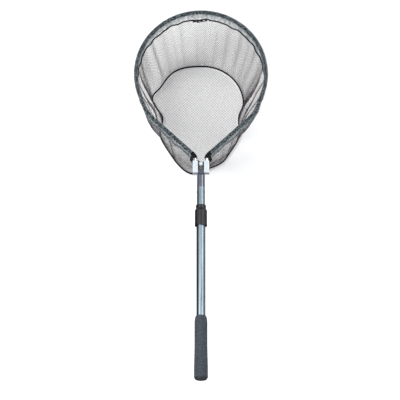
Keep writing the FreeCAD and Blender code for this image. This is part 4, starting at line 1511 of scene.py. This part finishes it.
    def build_cord_joint(self) -> None:
        """The overlap at the far end where the cord's two ends are whipped together."""
        loop = self.seam_edge(self.cord_rings, self.cord_inset + self.joint_gap)
        first, last = (round(k * self.cord_rings) for k in self.joint_span)
        end = loop[first:last]
        share = np.linspace(0, 1, len(end))
        end[:, 2] -= self.joint_drop + self.joint_wave * np.sin(share * math.pi * 2.5) ** 2
        radii = np.full((len(end), self.joint_sides), self.joint_radius)
        net_piece("seam_joint_end", round_bar(end, radii, False), Surface.CORD, "black_cord")
        main = self.seam_edge(self.cord_rings, self.cord_inset)
        turns = []
        for place in self.whipping_places:
            step = round(place * (last - first))
            near, far = main[first + step], end[step]
            along = unit(main[first + step + 1] - main[first + step - 1])
            reach = far - near
            half = np.linalg.norm(reach) / 2 + self.whipping_margin
            wide = unit(np.cross(along, reach)) * self.whipping_half
            for turn in range(self.whipping_turns):
                shift = along * (turn - self.whipping_turns // 2) * self.whipping_pitch
                centre = (near + far) / 2 + shift
                turns.append(
                    thread_turn(centre, unit(reach) * half, wide, along, self.whipping_thread)
                )
        net_piece("seam_whipping", join_turns(turns), Surface.THREAD, "black_cord")

    def braid(self, loop: np.ndarray, radius: float, pitch: float) -> tuple:
        """A braided cord along a loop.

        Args:
            loop: its middle line.
            radius: its radius.
            pitch: the length of one turn of a strand.

        Returns:
            Points and faces.
        """
        turns = round(loop_length(loop) / pitch)
        angle = np.linspace(0, 2 * math.pi, BRAID_SIDES, endpoint=False)[None, :]
        along = (np.arange(len(loop)) / len(loop) * 2 * math.pi * turns)[:, None]
        strand = BRAID_STRANDS * angle
        relief = np.maximum(np.cos(strand + along), np.cos(strand - along))
        return round_bar(loop, radius * (BRAID_MIDDLE + BRAID_SWING * relief), True)

    def stitches(self, loop: np.ndarray, radius: float) -> tuple:
        """Turns of thread round a cord, one at each stitch.

        Args:
            loop: the cord's middle line.
            radius: the turns' radius.

        Returns:
            Points and faces.
        """
        count = int(loop_length(loop) / self.stitch_gap)
        along, side, top = path_frame(loop, True)
        turns = []
        for k in np.linspace(0, len(loop), count, endpoint=False).astype(int):
            wide, tall = (side[k] + along[k] * self.stitch_lean) * radius, top[k] * radius
            turns.append(thread_turn(loop[k], wide, tall, along[k], self.stitch_thread))
        return join_turns(turns)

    def build_piping(self) -> None:
        """The black piping sewn round the base panel."""
        loop = self.base_edge(self.piping_rings, PIPING_INSET)
        cord = self.braid(loop, half_height("base_piping"), self.piping_pitch)
        net_piece("base_binding", cord, Surface.CORD, "black_cord", "base_piping")


# ------------------------------------------------------------------------------------- studio


@dataclass
class Studio:
    """Floor, lights and camera."""

    elevation: float = 72.0
    lens: float = 1000.0
    sensor: float = 36.0
    aim: tuple[float, float, float] = (-2.8, 558.0, 0.0)
    view_width: float = 1190.0
    floor_z: float = -330.0
    floor_half: float = 6000.0
    floor_middle: float = 600.0
    sky: float = 0.45
    trough_half: float = 240.0
    trough_left: float = 40.0
    trough_right: float = -90.0
    trough_ends: tuple[float, float] = (-200.0, 700.0)
    trough_lift: float = 5.0
    light_aim: tuple[float, float, float] = (0, 600, -100)
    clip_end: float = 200.0

    def build(self) -> None:
        """Builds the studio."""
        scene = bpy.context.scene
        scene.view_settings.view_transform = "Standard"
        self.build_world()
        self.build_floor()
        self.build_lights()
        self.build_camera()

    def build_world(self) -> None:
        """A pale sky that lights everything softly."""
        world = bpy.data.worlds.new("studio_sky")
        bpy.context.scene.world = world
        world.use_nodes = True
        background = world.node_tree.nodes["Background"]
        background.inputs["Color"].default_value = linear("#f2f5f8")
        background.inputs["Strength"].default_value = self.sky

    def build_floor(self) -> None:
        """White paper under the bag, and a dark trough that only reflections see."""
        half = self.floor_half
        corners = np.array(
            [[-half, -half, 0], [half, -half, 0], [half, half, 0], [-half, half, 0]], float
        )
        corners += [0, self.floor_middle, self.floor_z]
        floor = make_piece("studio_floor", corners, [[0, 1, 2, 3]], Surface.PAPER)
        wide, deep = self.trough_half, self.floor_z + self.trough_lift
        profile = [(-wide, self.trough_left), (-wide, deep), (wide, deep), (wide, self.trough_right)]
        points = [(x, y, z) for y in self.trough_ends for x, z in profile]
        faces = [[k, k + 1, k + 5, k + 4] for k in range(3)]
        board = make_piece("studio_board", np.array(points), faces, Surface.BLACK_BOARD)
        board.visible_camera = board.visible_diffuse = board.visible_shadow = False

    def area_light(self, name: str, place: tuple, size: float, power: float) -> None:
        """A square soft light that faces light_aim.

        Args:
            name: its name.
            place: where it is, in millimetres.
            size: its side.
            power: in watts.
        """
        data = bpy.data.lights.new(name, "AREA")
        data.size = size * MM
        data.energy = power
        light = bpy.data.objects.new(name, data)
        light.location = Vector(place) * MM
        light.rotation_euler = (Vector(self.light_aim) - Vector(place)).to_track_quat("-Z", "Y").to_euler()
        bpy.context.scene.collection.objects.link(light)

    def build_lights(self) -> None:
        """A large key light from the left and a weaker one from the right."""
        self.area_light("key_light", place=(-1500, 300, 2600), size=1400, power=95)
        self.area_light("fill_light", place=(1900, 1100, 2200), size=1600, power=50)

    def build_camera(self) -> None:
        """A long lens from above the handle."""
        data = bpy.data.cameras.new("camera")
        data.lens, data.sensor_width = self.lens, self.sensor
        data.clip_end = self.clip_end
        camera = bpy.data.objects.new("camera", data)
        lift = math.radians(self.elevation)
        back = Vector((0, -math.cos(lift), math.sin(lift)))
        distance = self.view_width * self.lens / self.sensor
        camera.location = (Vector(self.aim) + back * distance) * MM
        camera.rotation_euler = (-back).to_track_quat("-Z", "Y").to_euler()
        bpy.context.scene.collection.objects.link(camera)
        bpy.context.scene.camera = camera


def save_size() -> None:
    """Updates the view layer."""
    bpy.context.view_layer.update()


def main() -> None:
    """Builds the sub-assemblies in order."""
    logging.basicConfig(level=logging.INFO, format="%(name)s %(message)s")
    Studio().build()
    for part in (Handle(), UpperPole(), Yoke(), Sleeve(), Bag()):
        part.build()
        log.info("%s done", type(part).__name__)
    save_size()


if __name__ == "__main__":
    main()
